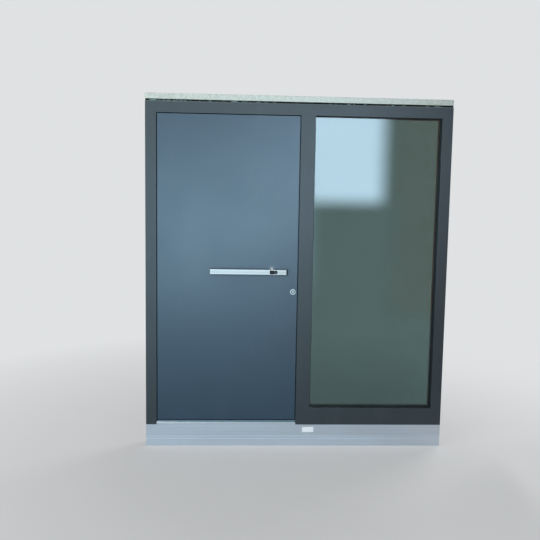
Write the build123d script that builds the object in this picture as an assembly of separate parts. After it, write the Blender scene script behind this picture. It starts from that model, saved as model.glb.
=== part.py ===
from build123d import *
import os

# Entrance door set in aluminium: an inward opening flush leaf on the left,
# a fixed triple-glazed side panel on the right, one frame round both.
# Millimetres. X runs to the right, Y into the building, Z up.
# The origin is the middle of the base profile's bottom face.

# Frame
FRAME_WIDTH = 2150.0
FRAME_HEIGHT = 2288.0
FRAME_DEPTH = 90.0
FRAME_FACE = 76.0
MULLION_FACE = 101.0
BOTTOM_RAIL_FACE = 125.0
PROFILE_WALL = 2.0
LIP_DEPTH = 25.0
OUTER_SHELL_DEPTH = 33.0
INNER_SHELL_DEPTH = 37.0
REBATE = 20.0
BREAK_BAR = 3.0
BREAK_INSET = 7.0

# Base profile, threshold and head strip
BASE_HEIGHT = 160.0
BASE_DEPTH = 86.0
BASE_WALL = 3.0
BASE_GROOVE_LOW = 54.0
BASE_GROOVE_HIGH = 76.0
BASE_GROOVE_WIDTH = 2.5
BASE_GROOVE_DEPTH = 1.2
THRESHOLD_HEIGHT = 17.0
THRESHOLD_REAR_HEIGHT = 12.0
THRESHOLD_NOSE = 1.5
THRESHOLD_RIB_HEIGHT = 26.0
THRESHOLD_RIB = 6.0
THRESHOLD_GROOVE_WIDTH = 3.0
THRESHOLD_GROOVE_DEPTH = 2.0
TAPE_HEIGHT = 14.0
TAPE_SETBACK = 7.0
TAPE_DEPTH = 58.0
HEAD_STRIP_HEIGHT = 40.0
HEAD_STRIP_DEPTH = 80.0
HEAD_STRIP_SHEET = 1.5
HEAD_STRIP_BEND = 2.5

# Fixing holes to the building
FIXING_HOLE_R = 4.5
FIXING_COUNT = 4
JAMB_FIXING_END = 169.0
HEAD_FIXING_END = 175.0

# Leaf
LEAF_WIDTH = 992.0
LEAF_GAP = 6.0
LEAF_FLOOR_GAP = 39.5
LEAF_SHEET = 3.0
LEAF_PROFILE_WIDTH = 83.0
LEAF_OUTER_SHELL = 30.0
LOCK_GROOVE_WIDTH = 20.0
LOCK_GROOVE_DEPTH = 3.0
SHEET_EDGE = 1.0

# Seals
SEAL_SPACE = 6.0
SEAL_CLEARANCE = 0.3
SEAL_WIDTH = 8.0
SEAL_BORE_R = 1.2
THRESHOLD_SEAL_WIDTH = 5.0
BOTTOM_SEAL_WIDTH = 22.0
BOTTOM_SEAL_END = 8.0

# Glass unit
PANE_OUTER = 6.0
PANE_MIDDLE = 4.0
PANE_INNER = 6.0
CAVITY = 14.0
SPACER_WIDTH = 9.0
SPACER_INSET = 4.0
GLASS_EDGE_GAP = 5.0
GASKET_DEPTH = 5.0
GASKET_SIGHT = 5.0
GASKET_COVER = 12.0
BEAD_WALL = 1.5
BEAD_BEVEL = 4.0
SETTING_BLOCK_LENGTH = 100.0
SETTING_BLOCK_INSET = 120.0

# Hinges
HINGE_FROM_LEAF_END = 243.0
HINGE_HEIGHT = 150.0
HINGE_LEAF_BARREL = 40.0
HINGE_BARREL_R = 9.5
HINGE_PIN_R = 5.0
HINGE_STANDOFF = 10.0
HINGE_PLATE = 4.0
HINGE_WING = 40.0
HINGE_CAP = 5.0
HINGE_CAP_R = 8.0
HINGE_SCREW_OFFSET = 50.0
PIN_CLEARANCE = 0.05
RUN_GAP = 0.3

# Screws
SCREW_HEAD_R = 4.6
SCREW_SHANK_R = 2.4
SCREW_LENGTH = 14.0

# Bar handle
BAR_LENGTH = 545.0
BAR_RIGHT_EDGE = 73.0
BAR_ABOVE_FRAME = 1118.0
BAR_HEIGHT = 38.0
BAR_THICKNESS = 26.0
BAR_CORNER = 3.5
BAR_WALL = 2.0
BAR_FINGER_ROOM = 34.0
BAR_LEFT_CAP = 10.0
BAR_RIGHT_CAP = 9.5
BAR_END_PLUG = 10.0
CAP_SPIGOT = 12.0
CAP_EDGE = 1.0
POST_R = 9.0
POST_INSET = 75.0
POST_STUD_R = 4.0
POST_STUD = 25.0

# Finger reader in the bar
WINDOW_WIDTH = 27.0
WINDOW_HEIGHT = 24.0
WINDOW_CORNER = 3.0
WINDOW_FROM_BAR_END = 111.0
READER_DEPTH = 9.0
READER_RECESS = 0.4
RING_R = 12.0
RING_WIDTH = 6.5
RING_PROUD = 0.8
RING_FROM_WINDOW = 14.5
DISH_DEPTH = 1.0
LIGHT_WIDTH = 16.0
LIGHT_DEPTH = 6.0
LIGHT_PROUD = 1.0
LIGHT_FROM_FRONT = 13.0

# Cylinder and lock
CYLINDER_BACKSET = 50.0
CYLINDER_ABOVE_FRAME = 975.0
CYLINDER_R = 14.0
CYLINDER_STANDOFF = 6.0
CYLINDER_CLEARANCE = 0.2
PLUG_R = 6.5
COLLAR_R = 21.0
COLLAR_HEIGHT = 8.0
COLLAR_BEVEL = 3.0
KEYWAY_WIDTH = 2.4
KEYWAY_HEIGHT = 9.0
KEYWAY_DEPTH = 22.0
CAM_R = 9.0
CAM_LOBE_R = 17.0
CAM_LOBE_WIDTH = 8.0
THUMBTURN_R = 15.0
THUMBTURN_LENGTH = 22.0
THUMBTURN_GRIP = 9.0
THUMBTURN_FOOT = 7.0
LEVER_ABOVE_CYLINDER = 92.0
LEVER_R = 9.5
LEVER_REACH = 135.0
LEVER_STANDOFF = 44.0
LEVER_BEND = 14.0
LEVER_EDGE = 1.5
ROSE_R = 26.0
ROSE_HEIGHT = 8.0
ROSE_EDGE = 1.5
SPINDLE_SIDE = 8.0
SPINDLE_IN_LEVER = 16.0
SPINDLE_HOLE_R = 7.0
HUB_R = 9.0
FACEPLATE_MARGIN = 80.0
FACEPLATE_CORNER = 9.0
CASE_THICKNESS = 16.0
CASE_WALL = 1.5
CASE_DEPTH = 71.0
CASE_BELOW = 35.0
CASE_ABOVE = 137.0
SIDE_CASE_DEPTH = 51.0
SIDE_CASE_HALF = 45.0
LOW_BOLT_ABOVE_FRAME = 340.0
HIGH_BOLT_BELOW_HEAD = 548.0
BOLT_THICKNESS = 12.0
BOLT_HEIGHT = 20.0
BOLT_LENGTH = 52.0
SIDE_BOLT_LENGTH = 40.0
DEADBOLT_ABOVE_CYLINDER = 30.0
LATCH_ABOVE_CYLINDER = 70.0
LATCH_HEIGHT = 18.0
LATCH_BEVEL = 9.0
BOLT_SLACK = 0.5
ROD_THICKNESS = 3.0
ROD_WIDTH = 12.0
ROD_IN_CASE = 30.0
ROD_TIP_IN_CASE = 10.0
STRIKE_SHEET = 2.0
STRIKE_WIDTH = 26.0
STRIKE_MARGIN = 14.0
STRIKE_CORNER = 4.0

# Places worked out from the sizes above
FRONT = -FRAME_DEPTH / 2
BACK = FRAME_DEPTH / 2
LEFT = -FRAME_WIDTH / 2
RIGHT = FRAME_WIDTH / 2
SILL = BASE_HEIGHT
HEAD_TOP = SILL + FRAME_HEIGHT
HEAD_UNDER = HEAD_TOP - FRAME_FACE
LIP_BACK = FRONT + LIP_DEPTH
OUTER_BACK = FRONT + OUTER_SHELL_DEPTH
INNER_FRONT = BACK - INNER_SHELL_DEPTH
JAMB_EDGE = LEFT + FRAME_FACE
MULLION_LEFT = JAMB_EDGE + LEAF_WIDTH + 2 * LEAF_GAP
MULLION_RIGHT = MULLION_LEFT + MULLION_FACE
GLASS_RIGHT = RIGHT - FRAME_FACE
RAIL_TOP = SILL + BOTTOM_RAIL_FACE

LEAF_LEFT = JAMB_EDGE + LEAF_GAP
LEAF_RIGHT = LEAF_LEFT + LEAF_WIDTH
LEAF_LOW = SILL + LEAF_FLOOR_GAP
LEAF_HIGH = HEAD_UNDER - LEAF_GAP
LEAF_REAR_LEFT = LEAF_LEFT - REBATE
LEAF_REAR_RIGHT = LEAF_RIGHT + REBATE
LEAF_REAR_LOW = LEAF_LOW - REBATE
LEAF_REAR_HIGH = LEAF_HIGH + REBATE
LEAF_REBATE_Y = LIP_BACK + SEAL_SPACE
LEAF_OUTER_BACK = FRONT + LEAF_SHEET + LEAF_OUTER_SHELL
LEAF_INNER_FRONT = INNER_FRONT
LEAF_INNER_BACK = BACK - LEAF_SHEET

GLASS_FRONT = LIP_BACK + GASKET_DEPTH
MIDDLE_PANE_Y = GLASS_FRONT + PANE_OUTER + CAVITY
INNER_PANE_Y = MIDDLE_PANE_Y + PANE_MIDDLE + CAVITY
GLASS_BACK = INNER_PANE_Y + PANE_INNER
BEAD_FRONT = GLASS_BACK + GASKET_DEPTH

HINGE_X = LEAF_REAR_LEFT - LEAF_GAP / 2
HINGE_Y = BACK + HINGE_STANDOFF
LOW_HINGE_Z = LEAF_REAR_LOW + HINGE_FROM_LEAF_END
HIGH_HINGE_Z = LEAF_REAR_HIGH - HINGE_FROM_LEAF_END
HINGE_ZS = (LOW_HINGE_Z, (LOW_HINGE_Z + HIGH_HINGE_Z) / 2, HIGH_HINGE_Z)

BAR_RIGHT = LEAF_RIGHT - BAR_RIGHT_EDGE
BAR_LEFT = BAR_RIGHT - BAR_LENGTH
BAR_Z = SILL + BAR_ABOVE_FRAME
BAR_BACK = FRONT - BAR_FINGER_ROOM
BAR_FRONT = BAR_BACK - BAR_THICKNESS
POST_XS = (BAR_LEFT + POST_INSET, BAR_RIGHT - POST_INSET)
WINDOW_X = BAR_RIGHT - WINDOW_FROM_BAR_END
RING_X = WINDOW_X + RING_FROM_WINDOW + RING_R

CYLINDER_X = LEAF_REAR_RIGHT - CYLINDER_BACKSET
CYLINDER_Z = SILL + CYLINDER_ABOVE_FRAME
LEVER_Z = CYLINDER_Z + LEVER_ABOVE_CYLINDER
LOCK_Y = (LEAF_INNER_FRONT + LEAF_INNER_BACK) / 2
CASE_FRONT = LOCK_Y - CASE_THICKNESS / 2
CASE_BACK = LOCK_Y + CASE_THICKNESS / 2
FACEPLATE_BACK = LEAF_REAR_RIGHT - LOCK_GROOVE_DEPTH
CASE_LOW = CYLINDER_Z - CASE_BELOW
CASE_HIGH = CYLINDER_Z + CASE_ABOVE
DEADBOLT_Z = CYLINDER_Z + DEADBOLT_ABOVE_CYLINDER
LATCH_Z = CYLINDER_Z + LATCH_ABOVE_CYLINDER
SIDE_BOLT_ZS = (SILL + LOW_BOLT_ABOVE_FRAME, HEAD_TOP - HIGH_BOLT_BELOW_HEAD)
BOLT_NOSE = LEAF_REAR_RIGHT - RUN_GAP
STRIKE_FACE = MULLION_LEFT + REBATE - STRIKE_SHEET
CUT = 1.0


def box(x0, x1, y0, y1, z0, z1):
    """Box between two opposite corners."""
    middle = Pos((x0 + x1) / 2, (y0 + y1) / 2, (z0 + z1) / 2)
    return middle * Box(x1 - x0, y1 - y0, z1 - z0)


def rect(a0, a1, b0, b1):
    """Rectangle between two opposite corners of a section."""
    return Pos((a0 + a1) / 2, (b0 + b1) / 2) * Rectangle(a1 - a0, b1 - b0)


def upright(section, z0, z1):
    """Extrude a section drawn in X and Y from z0 up to z1."""
    return extrude(Plane(origin=(0, 0, z0)) * section, amount=z1 - z0, dir=(0, 0, 1))


def lying(section, x0, x1):
    """Extrude a section drawn in Z and Y from x0 to x1."""
    plane = Plane(origin=(x1, 0, 0), x_dir=(0, 0, 1), z_dir=(-1, 0, 0))
    return extrude(plane * section, amount=x1 - x0, dir=(-1, 0, 0))


def through(section, x, z, y0, y1):
    """Extrude a section drawn in X and Z, centred on (x, z), from y0 to y1."""
    plane = Plane(origin=(x, y1, z), x_dir=(1, 0, 0), z_dir=(0, -1, 0))
    return extrude(plane * section, amount=y1 - y0, dir=(0, -1, 0))


def rod(radius, x, z, y0, y1):
    """Round bar along Y."""
    return through(Circle(radius), x, z, y0, y1)


def front_outline(points):
    """Prism through the whole depth, with an outline drawn in X and Z."""
    deep = FRAME_DEPTH + 2 * CUT
    return through(Polygon(*points, align=None), 0, 0, -deep / 2, deep / 2)


def ring_outline(x0, x1, z0, z1, y0, y1, width):
    """Flat rectangular ring whose outer edge is given and whose bars are width wide."""
    outer = box(x0, x1, y0, y1, z0, z1)
    return outer - box(x0 + width, x1 - width, y0 - CUT, y1 + CUT, z0 + width, z1 - width)


def screw(place, direction):
    """Countersunk screw whose head faces along direction, flush at place."""
    head = SCREW_HEAD_R - SCREW_SHANK_R
    body = Pos(0, 0, -head / 2) * Cone(SCREW_SHANK_R, SCREW_HEAD_R, head)
    body += Pos(0, 0, -SCREW_LENGTH / 2) * Cylinder(SCREW_SHANK_R, SCREW_LENGTH)
    return Plane(origin=place, z_dir=direction) * body


def cut_all(piece, tools):
    """Take each tool out of a piece."""
    for tool in tools:
        piece -= tool
    return piece


# Frame sections

def outer_section(w0, w1, low_lip, high_lip):
    """Outer shell across the face from w0 to w1, with a lip on the sides that have a rebate."""
    m0 = w0 + REBATE if low_lip else w0
    m1 = w1 - REBATE if high_lip else w1
    shell = rect(w0, w1, FRONT, LIP_BACK) + rect(m0, m1, FRONT, OUTER_BACK)
    shell -= rect(m0 + PROFILE_WALL, m1 - PROFILE_WALL, FRONT + PROFILE_WALL, OUTER_BACK - PROFILE_WALL)
    if low_lip:
        shell -= rect(w0 + PROFILE_WALL, m0, FRONT + PROFILE_WALL, LIP_BACK - PROFILE_WALL)
    if high_lip:
        shell -= rect(m1, w1 - PROFILE_WALL, FRONT + PROFILE_WALL, LIP_BACK - PROFILE_WALL)
    return shell


def inner_section(w0, w1, low_lip, high_lip):
    """Inner shell, which stops at the rebate."""
    m0 = w0 + REBATE if low_lip else w0
    m1 = w1 - REBATE if high_lip else w1
    shell = rect(m0, m1, INNER_FRONT, BACK)
    return shell - rect(m0 + PROFILE_WALL, m1 - PROFILE_WALL, INNER_FRONT + PROFILE_WALL, BACK - PROFILE_WALL)


def break_sections(w0, w1, low_lip, high_lip):
    """The two plastic bars that tie the shells together."""
    m0 = w0 + REBATE if low_lip else w0
    m1 = w1 - REBATE if high_lip else w1
    low = rect(m0 + BREAK_INSET, m0 + BREAK_INSET + BREAK_BAR, OUTER_BACK, INNER_FRONT)
    high = rect(m1 - BREAK_INSET - BREAK_BAR, m1 - BREAK_INSET, OUTER_BACK, INNER_FRONT)
    return [low, high]


def left_jamb_outline():
    """Outline that mitres the left jamb into the head."""
    return front_outline([(LEFT, SILL), (JAMB_EDGE, SILL), (JAMB_EDGE, HEAD_UNDER), (LEFT, HEAD_TOP)])


def right_jamb_outline():
    """Outline that mitres the right jamb into the head."""
    return front_outline([(RIGHT, SILL), (RIGHT, HEAD_TOP), (GLASS_RIGHT, HEAD_UNDER), (GLASS_RIGHT, SILL)])


def head_outline():
    """Outline that mitres the head into both jambs."""
    corners = [(LEFT, HEAD_TOP), (JAMB_EDGE, HEAD_UNDER), (GLASS_RIGHT, HEAD_UNDER), (RIGHT, HEAD_TOP)]
    return front_outline(corners)


def fixing_places(low, high, end):
    """Places of the fixing holes along a bar, evenly spaced between its ends."""
    pitch = (high - low - 2 * end) / (FIXING_COUNT - 1)
    return [low + end + pitch * i for i in range(FIXING_COUNT)]


def jamb_fixing_holes(x0, x1):
    """Holes for the frame screws, through both walls of a jamb's inner shell."""
    y = (INNER_FRONT + BACK) / 2
    hole = Plane(origin=(x0 - CUT, y, 0), x_dir=(0, 1, 0), z_dir=(1, 0, 0)) * Circle(FIXING_HOLE_R)
    bore = extrude(hole, amount=x1 - x0 + 2 * CUT)
    return [Pos(0, 0, z) * bore for z in fixing_places(SILL, HEAD_TOP, JAMB_FIXING_END)]


def frame_bars():
    """Jambs, head, mullion and bottom rail, each as an outer and an inner shell."""
    jamb_left = (LEFT, JAMB_EDGE, False, True)
    jamb_right = (GLASS_RIGHT, RIGHT, True, False)
    mullion = (MULLION_LEFT, MULLION_RIGHT, True, True)
    head = (HEAD_UNDER, HEAD_TOP, True, False)
    rail = (SILL, RAIL_TOP, False, True)
    breaks = []
    nodes = {}
    for name, width, outline in (
        ("jamb_left", jamb_left, left_jamb_outline()),
        ("jamb_right", jamb_right, right_jamb_outline()),
    ):
        holes = jamb_fixing_holes(width[0], width[1])
        nodes[name + "_outer"] = upright(outer_section(*width), SILL, HEAD_TOP) & outline
        nodes[name + "_inner"] = cut_all(upright(inner_section(*width), SILL, HEAD_TOP) & outline, holes)
        breaks += [upright(bar, SILL, HEAD_TOP) & outline for bar in break_sections(*width)]
    nodes["head_outer"] = lying(outer_section(*head), LEFT, RIGHT) & head_outline()
    nodes["head_inner"] = lying(inner_section(*head), LEFT, RIGHT) & head_outline()
    breaks += [lying(bar, LEFT, RIGHT) & head_outline() for bar in break_sections(*head)]

    # The mullion stands on the base and reaches up into the head's rebate behind its lip
    lip_notch = box(MULLION_LEFT - CUT, MULLION_RIGHT + CUT, FRONT - CUT, LIP_BACK, HEAD_UNDER, HEAD_TOP)
    top = HEAD_UNDER + REBATE
    nodes["mullion_outer"] = upright(outer_section(*mullion), SILL, top) - lip_notch
    nodes["mullion_inner"] = cut_all(upright(inner_section(*mullion), SILL, top), keep_holes())
    breaks += [upright(bar, SILL, top) for bar in break_sections(*mullion)]

    # The bottom rail fits between the mullion and the right jamb, behind their lips too
    left_rear = MULLION_RIGHT - REBATE
    right_rear = GLASS_RIGHT + REBATE
    outer_rail = lying(outer_section(*rail), left_rear, right_rear)
    outer_rail -= box(left_rear - CUT, MULLION_RIGHT, FRONT - CUT, LIP_BACK, SILL - CUT, RAIL_TOP + CUT)
    outer_rail -= box(GLASS_RIGHT, right_rear + CUT, FRONT - CUT, LIP_BACK, SILL - CUT, RAIL_TOP + CUT)
    nodes["bottom_rail_outer"] = outer_rail
    nodes["bottom_rail_inner"] = lying(inner_section(*rail), left_rear, right_rear)
    breaks += [lying(bar, left_rear, right_rear) for bar in break_sections(*rail)]
    breaks += threshold_breaks()
    nodes["frame_thermal_breaks"] = Compound(breaks)
    return nodes


# Threshold, base and head strip

def threshold_shape(section, y_back):
    """Threshold bar between the jamb and the mullion, wider where the lips stop."""
    bar = lying(section, JAMB_EDGE - REBATE, MULLION_LEFT + REBATE)
    top = SILL + THRESHOLD_RIB_HEIGHT + CUT
    if y_back <= OUTER_BACK:
        bar -= box(JAMB_EDGE - REBATE - CUT, JAMB_EDGE, FRONT - CUT, LIP_BACK, SILL - CUT, top)
        bar -= box(MULLION_LEFT, MULLION_LEFT + REBATE + CUT, FRONT - CUT, LIP_BACK, SILL - CUT, top)
    return bar


def threshold_outer():
    """Outer threshold: bevelled nose, water groove and the rib that carries the seal."""
    top = SILL + THRESHOLD_HEIGHT
    rib_front = LIP_BACK - THRESHOLD_RIB
    rib_top = SILL + THRESHOLD_RIB_HEIGHT
    rear = SILL + THRESHOLD_REAR_HEIGHT
    section = Polygon(
        (SILL, FRONT), (top - THRESHOLD_NOSE, FRONT), (top, FRONT + THRESHOLD_NOSE), (top, rib_front),
        (rib_top, rib_front), (rib_top, LIP_BACK), (rear, LIP_BACK), (rear, OUTER_BACK), (SILL, OUTER_BACK),
        align=None,
    )
    groove_end = rib_front - PROFILE_WALL
    section -= rect(top - THRESHOLD_GROOVE_DEPTH, top + CUT, groove_end - THRESHOLD_GROOVE_WIDTH, groove_end)
    section -= rect(SILL + PROFILE_WALL, rear - PROFILE_WALL, FRONT + PROFILE_WALL, OUTER_BACK - PROFILE_WALL)
    return threshold_shape(section, OUTER_BACK)


def threshold_inner():
    """Inner threshold bar, hollow, under the leaf."""
    rear = SILL + THRESHOLD_REAR_HEIGHT
    section = rect(SILL, rear, INNER_FRONT, BACK)
    section -= rect(SILL + PROFILE_WALL, rear - PROFILE_WALL, INNER_FRONT + PROFILE_WALL, BACK - PROFILE_WALL)
    return threshold_shape(section, BACK)


def threshold_breaks():
    """Plastic bars between the threshold's two halves, the upper one closing its top."""
    rear = SILL + THRESHOLD_REAR_HEIGHT
    low = rect(SILL, SILL + BREAK_BAR, OUTER_BACK, INNER_FRONT)
    high = rect(rear - BREAK_BAR, rear, OUTER_BACK, INNER_FRONT)
    return [threshold_shape(section, INNER_FRONT) for section in (low, high)]


def base_profile():
    """Hollow base extension with three chambers and two grooves along its face."""
    half = BASE_DEPTH / 2
    levels = (0.0, BASE_GROOVE_LOW, BASE_GROOVE_HIGH, BASE_HEIGHT)
    section = rect(0, BASE_HEIGHT, -half, half)
    for low, high in zip(levels, levels[1:]):
        low_wall = BASE_WALL if low == 0.0 else BASE_WALL / 2
        high_wall = BASE_WALL if high == BASE_HEIGHT else BASE_WALL / 2
        section -= rect(low + low_wall, high - high_wall, BASE_WALL - half, half - BASE_WALL)
    for level in levels[1:-1]:
        width = BASE_GROOVE_WIDTH / 2
        section -= rect(level - width, level + width, -half - CUT, BASE_GROOVE_DEPTH - half)
    return lying(section, LEFT, RIGHT)


def head_tape():
    """Foam tape between the head and the strip above it."""
    front = FRONT + TAPE_SETBACK
    return box(LEFT, RIGHT, front, front + TAPE_DEPTH, HEAD_TOP, HEAD_TOP + TAPE_HEIGHT)


def head_strip():
    """Folded galvanised channel on top of the head, open at the back, with fixing holes."""
    low = HEAD_TOP + TAPE_HEIGHT
    high = low + HEAD_STRIP_HEIGHT
    back = FRONT + HEAD_STRIP_DEPTH
    outside = rect(low, high, FRONT, back)
    outside = fillet(outside.vertices().group_by(Axis.Y)[0], HEAD_STRIP_BEND)
    sheet = HEAD_STRIP_SHEET
    inside = rect(low + sheet, high - sheet, FRONT + sheet, back + CUT)
    inside = fillet(inside.vertices().group_by(Axis.Y)[0], HEAD_STRIP_BEND - sheet)
    channel = lying(outside - inside, LEFT, RIGHT)
    for x in fixing_places(LEFT, RIGHT, HEAD_FIXING_END):
        channel -= Pos(x, (FRONT + back) / 2, high) * Cylinder(FIXING_HOLE_R, 4 * HEAD_STRIP_SHEET)
    return channel


# Glass

def glass_edges():
    """Outer edges of the glass panes."""
    inset = REBATE - GLASS_EDGE_GAP
    return MULLION_RIGHT - inset, GLASS_RIGHT + inset, RAIL_TOP - inset, HEAD_UNDER + inset


def glass_unit():
    """Three panes and the two spacer rings between them."""
    x0, x1, z0, z1 = glass_edges()
    middle_back = MIDDLE_PANE_Y + PANE_MIDDLE
    spacers = []
    for y0, y1 in ((GLASS_FRONT + PANE_OUTER, MIDDLE_PANE_Y), (middle_back, INNER_PANE_Y)):
        edges = (x0 + SPACER_INSET, x1 - SPACER_INSET, z0 + SPACER_INSET, z1 - SPACER_INSET)
        spacers.append(ring_outline(*edges, y0, y1, SPACER_WIDTH))
    return {
        "glass_outer": box(x0, x1, GLASS_FRONT, GLASS_FRONT + PANE_OUTER, z0, z1),
        "glass_middle": box(x0, x1, MIDDLE_PANE_Y, middle_back, z0, z1),
        "glass_inner": box(x0, x1, INNER_PANE_Y, GLASS_BACK, z0, z1),
        "glass_spacers": Compound(spacers),
    }


def glazing():
    """Gaskets, beads and setting blocks that hold the glass unit."""
    cover = GASKET_COVER
    edges = (MULLION_RIGHT - cover, GLASS_RIGHT + cover, RAIL_TOP - cover, HEAD_UNDER + cover)
    width = cover + GASKET_SIGHT
    x0, x1, z0, z1 = glass_edges()
    gaskets = [
        ring_outline(*edges, LIP_BACK, GLASS_FRONT, width),
        ring_outline(*edges, GLASS_BACK, BEAD_FRONT, width),
    ]
    blocks = []
    for left in (x0 + SETTING_BLOCK_INSET, x1 - SETTING_BLOCK_INSET - SETTING_BLOCK_LENGTH):
        right = left + SETTING_BLOCK_LENGTH
        blocks.append(box(left, right, GLASS_FRONT, GLASS_BACK, z0 - GLASS_EDGE_GAP, z0))
    return {
        "glazing_gaskets": Compound(gaskets),
        "glazing_beads": Compound(glazing_beads()),
        "setting_blocks": Compound(blocks),
    }


def bead_section(floor, inward):
    """Hollow bead section: it stands on the rebate floor, its bevel faces the glass area."""
    tip = floor + inward * REBATE
    bevel_tip = tip - inward * BEAD_BEVEL
    outside = Polygon(
        (floor, BEAD_FRONT), (tip, BEAD_FRONT), (tip, BACK - BEAD_BEVEL), (bevel_tip, BACK), (floor, BACK),
        align=None,
    )
    low, high = sorted((floor + inward * BEAD_WALL, bevel_tip))
    return outside - rect(low, high, BEAD_FRONT + BEAD_WALL, BACK - BEAD_WALL)


def glazing_beads():
    """Four beads: the upright ones full height, the others between them."""
    left = MULLION_RIGHT - REBATE
    right = GLASS_RIGHT + REBATE
    low = RAIL_TOP - REBATE
    high = HEAD_UNDER + REBATE
    return [
        upright(bead_section(left, 1), low, high),
        upright(bead_section(right, -1), low, high),
        lying(bead_section(low, 1), left + REBATE, right - REBATE),
        lying(bead_section(high, -1), left + REBATE, right - REBATE),
    ]


# Seals

def seal_section(a0, a1):
    """Hollow bulb seal on the lip's back face, between a0 and a1 across the rebate."""
    depth = SEAL_SPACE - SEAL_CLEARANCE
    radius = (a1 - a0) / 2
    foot = LIP_BACK + depth - radius
    middle = Pos((a0 + a1) / 2, foot)
    bulb = middle * Circle(radius) & rect(a0, a1, LIP_BACK, LIP_BACK + depth)
    return bulb + rect(a0, a1, LIP_BACK, foot) - middle * Circle(SEAL_BORE_R)


def frame_seal():
    """Seal round the leaf opening: three sides on the frame's lip, the fourth on the threshold rib."""
    overlap = (REBATE - LEAF_GAP) / 2
    left = JAMB_EDGE - overlap
    right = MULLION_LEFT + overlap
    top = HEAD_UNDER + overlap
    half = SEAL_WIDTH / 2
    foot = SILL + THRESHOLD_REAR_HEIGHT
    rib_top = SILL + THRESHOLD_RIB_HEIGHT
    low_bulb = seal_section(rib_top - THRESHOLD_SEAL_WIDTH, rib_top)
    return Compound([
        upright(seal_section(left - half, left + half), foot, top - half),
        upright(seal_section(right - half, right + half), foot, top - half),
        lying(seal_section(top - half, top + half), left - half, right + half),
        lying(low_bulb, left + half, right - half),
    ])


def leaf_bottom_seal():
    """Seal strip under the leaf, just clear of the threshold."""
    low = SILL + THRESHOLD_REAR_HEIGHT + RUN_GAP
    half = BOTTOM_SEAL_WIDTH / 2
    x0 = LEAF_REAR_LEFT + BOTTOM_SEAL_END
    return box(x0, LEAF_REAR_RIGHT - BOTTOM_SEAL_END, LOCK_Y - half, LOCK_Y + half, low, LEAF_REAR_LOW)


# Leaf

def leaf_outer_section(edge, inward):
    """Outer leaf shell with the flange that meets the seal; edge is the rear part's edge."""
    front_edge = edge + inward * REBATE
    inner_edge = edge + inward * LEAF_PROFILE_WIDTH
    front = FRONT + LEAF_SHEET
    shell = Polygon(
        (front_edge, front), (inner_edge, front), (inner_edge, LEAF_OUTER_BACK), (edge, LEAF_OUTER_BACK),
        (edge, LEAF_REBATE_Y), (front_edge, LEAF_REBATE_Y),
        align=None,
    )
    low, high = sorted((front_edge + inward * PROFILE_WALL, inner_edge - inward * PROFILE_WALL))
    return shell - rect(low, high, front + PROFILE_WALL, LEAF_OUTER_BACK - PROFILE_WALL)


def leaf_inner_section(edge, inward):
    """Inner leaf shell with the lock groove along its edge."""
    inner_edge = edge + inward * LEAF_PROFILE_WIDTH
    low, high = sorted((edge, inner_edge))
    shell = rect(low, high, LEAF_INNER_FRONT, LEAF_INNER_BACK)
    floor = edge + inward * LOCK_GROOVE_DEPTH
    low, high = sorted((edge - inward * CUT, floor))
    shell -= rect(low, high, LOCK_Y - LOCK_GROOVE_WIDTH / 2, LOCK_Y + LOCK_GROOVE_WIDTH / 2)
    low, high = sorted((floor + inward * PROFILE_WALL, inner_edge - inward * PROFILE_WALL))
    return shell - rect(low, high, LEAF_INNER_FRONT + PROFILE_WALL, LEAF_INNER_BACK - PROFILE_WALL)


def leaf_break_sections(edge, inward):
    """The leaf profile's two plastic bars."""
    bars = []
    for place in (BREAK_INSET, LEAF_PROFILE_WIDTH - BREAK_INSET - BREAK_BAR):
        low, high = sorted((edge + inward * place, edge + inward * (place + BREAK_BAR)))
        bars.append(rect(low, high, LEAF_OUTER_BACK, LEAF_INNER_FRONT))
    return bars


def leaf_core_edges():
    """Edges of the space inside the leaf's profiles."""
    width = LEAF_PROFILE_WIDTH
    return LEAF_REAR_LEFT + width, LEAF_REAR_RIGHT - width, LEAF_REAR_LOW + width, LEAF_REAR_HIGH - width


def leaf_sides():
    """Each side of the leaf: its extrusion, its edge, its inward direction and its mitre outline."""
    x0, x1, z0, z1 = LEAF_REAR_LEFT, LEAF_REAR_RIGHT, LEAF_REAR_LOW, LEAF_REAR_HIGH
    a0, a1, b0, b1 = leaf_core_edges()
    return [
        (upright, x0, 1, (z0, z1), [(x0, z0), (a0, b0), (a0, b1), (x0, z1)]),
        (upright, x1, -1, (z0, z1), [(x1, z0), (x1, z1), (a1, b1), (a1, b0)]),
        (lying, z0, 1, (x0, x1), [(x0, z0), (x1, z0), (a1, b0), (a0, b0)]),
        (lying, z1, -1, (x0, x1), [(x0, z1), (a0, b1), (a1, b1), (x1, z1)]),
    ]


def leaf_profiles():
    """Mitred aluminium profiles round the leaf, with their thermal breaks."""
    outer = []
    inner = []
    breaks = []
    for pull, edge, inward, span, outline in leaf_sides():
        mitre = front_outline(outline)
        outer.append(pull(leaf_outer_section(edge, inward), *span) & mitre)
        inner.append(pull(leaf_inner_section(edge, inward), *span) & mitre)
        breaks += [pull(bar, *span) & mitre for bar in leaf_break_sections(edge, inward)]
    outer[1] = cut_all(outer[1], [cylinder_hole()])
    inner[1] = cut_all(inner[1], [cylinder_hole(), spindle_hole()] + case_pockets())
    inner[1] = cut_all(inner[1], faceplate_screws())
    return {
        "leaf_outer_profiles": Compound(outer),
        "leaf_inner_profiles": Compound([cut_all(bar, leaf_hinge_screws()) for bar in inner]),
        "leaf_thermal_breaks": Compound(breaks),
    }


def leaf_outer_sheet():
    """Flush outer sheet with softened front edges."""
    sheet = box(LEAF_LEFT, LEAF_RIGHT, FRONT, FRONT + LEAF_SHEET, LEAF_LOW, LEAF_HIGH)
    sheet = chamfer(sheet.faces().sort_by(Axis.Y)[0].edges(), SHEET_EDGE)
    return cut_all(sheet, [cylinder_hole()] + post_holes())


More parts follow.
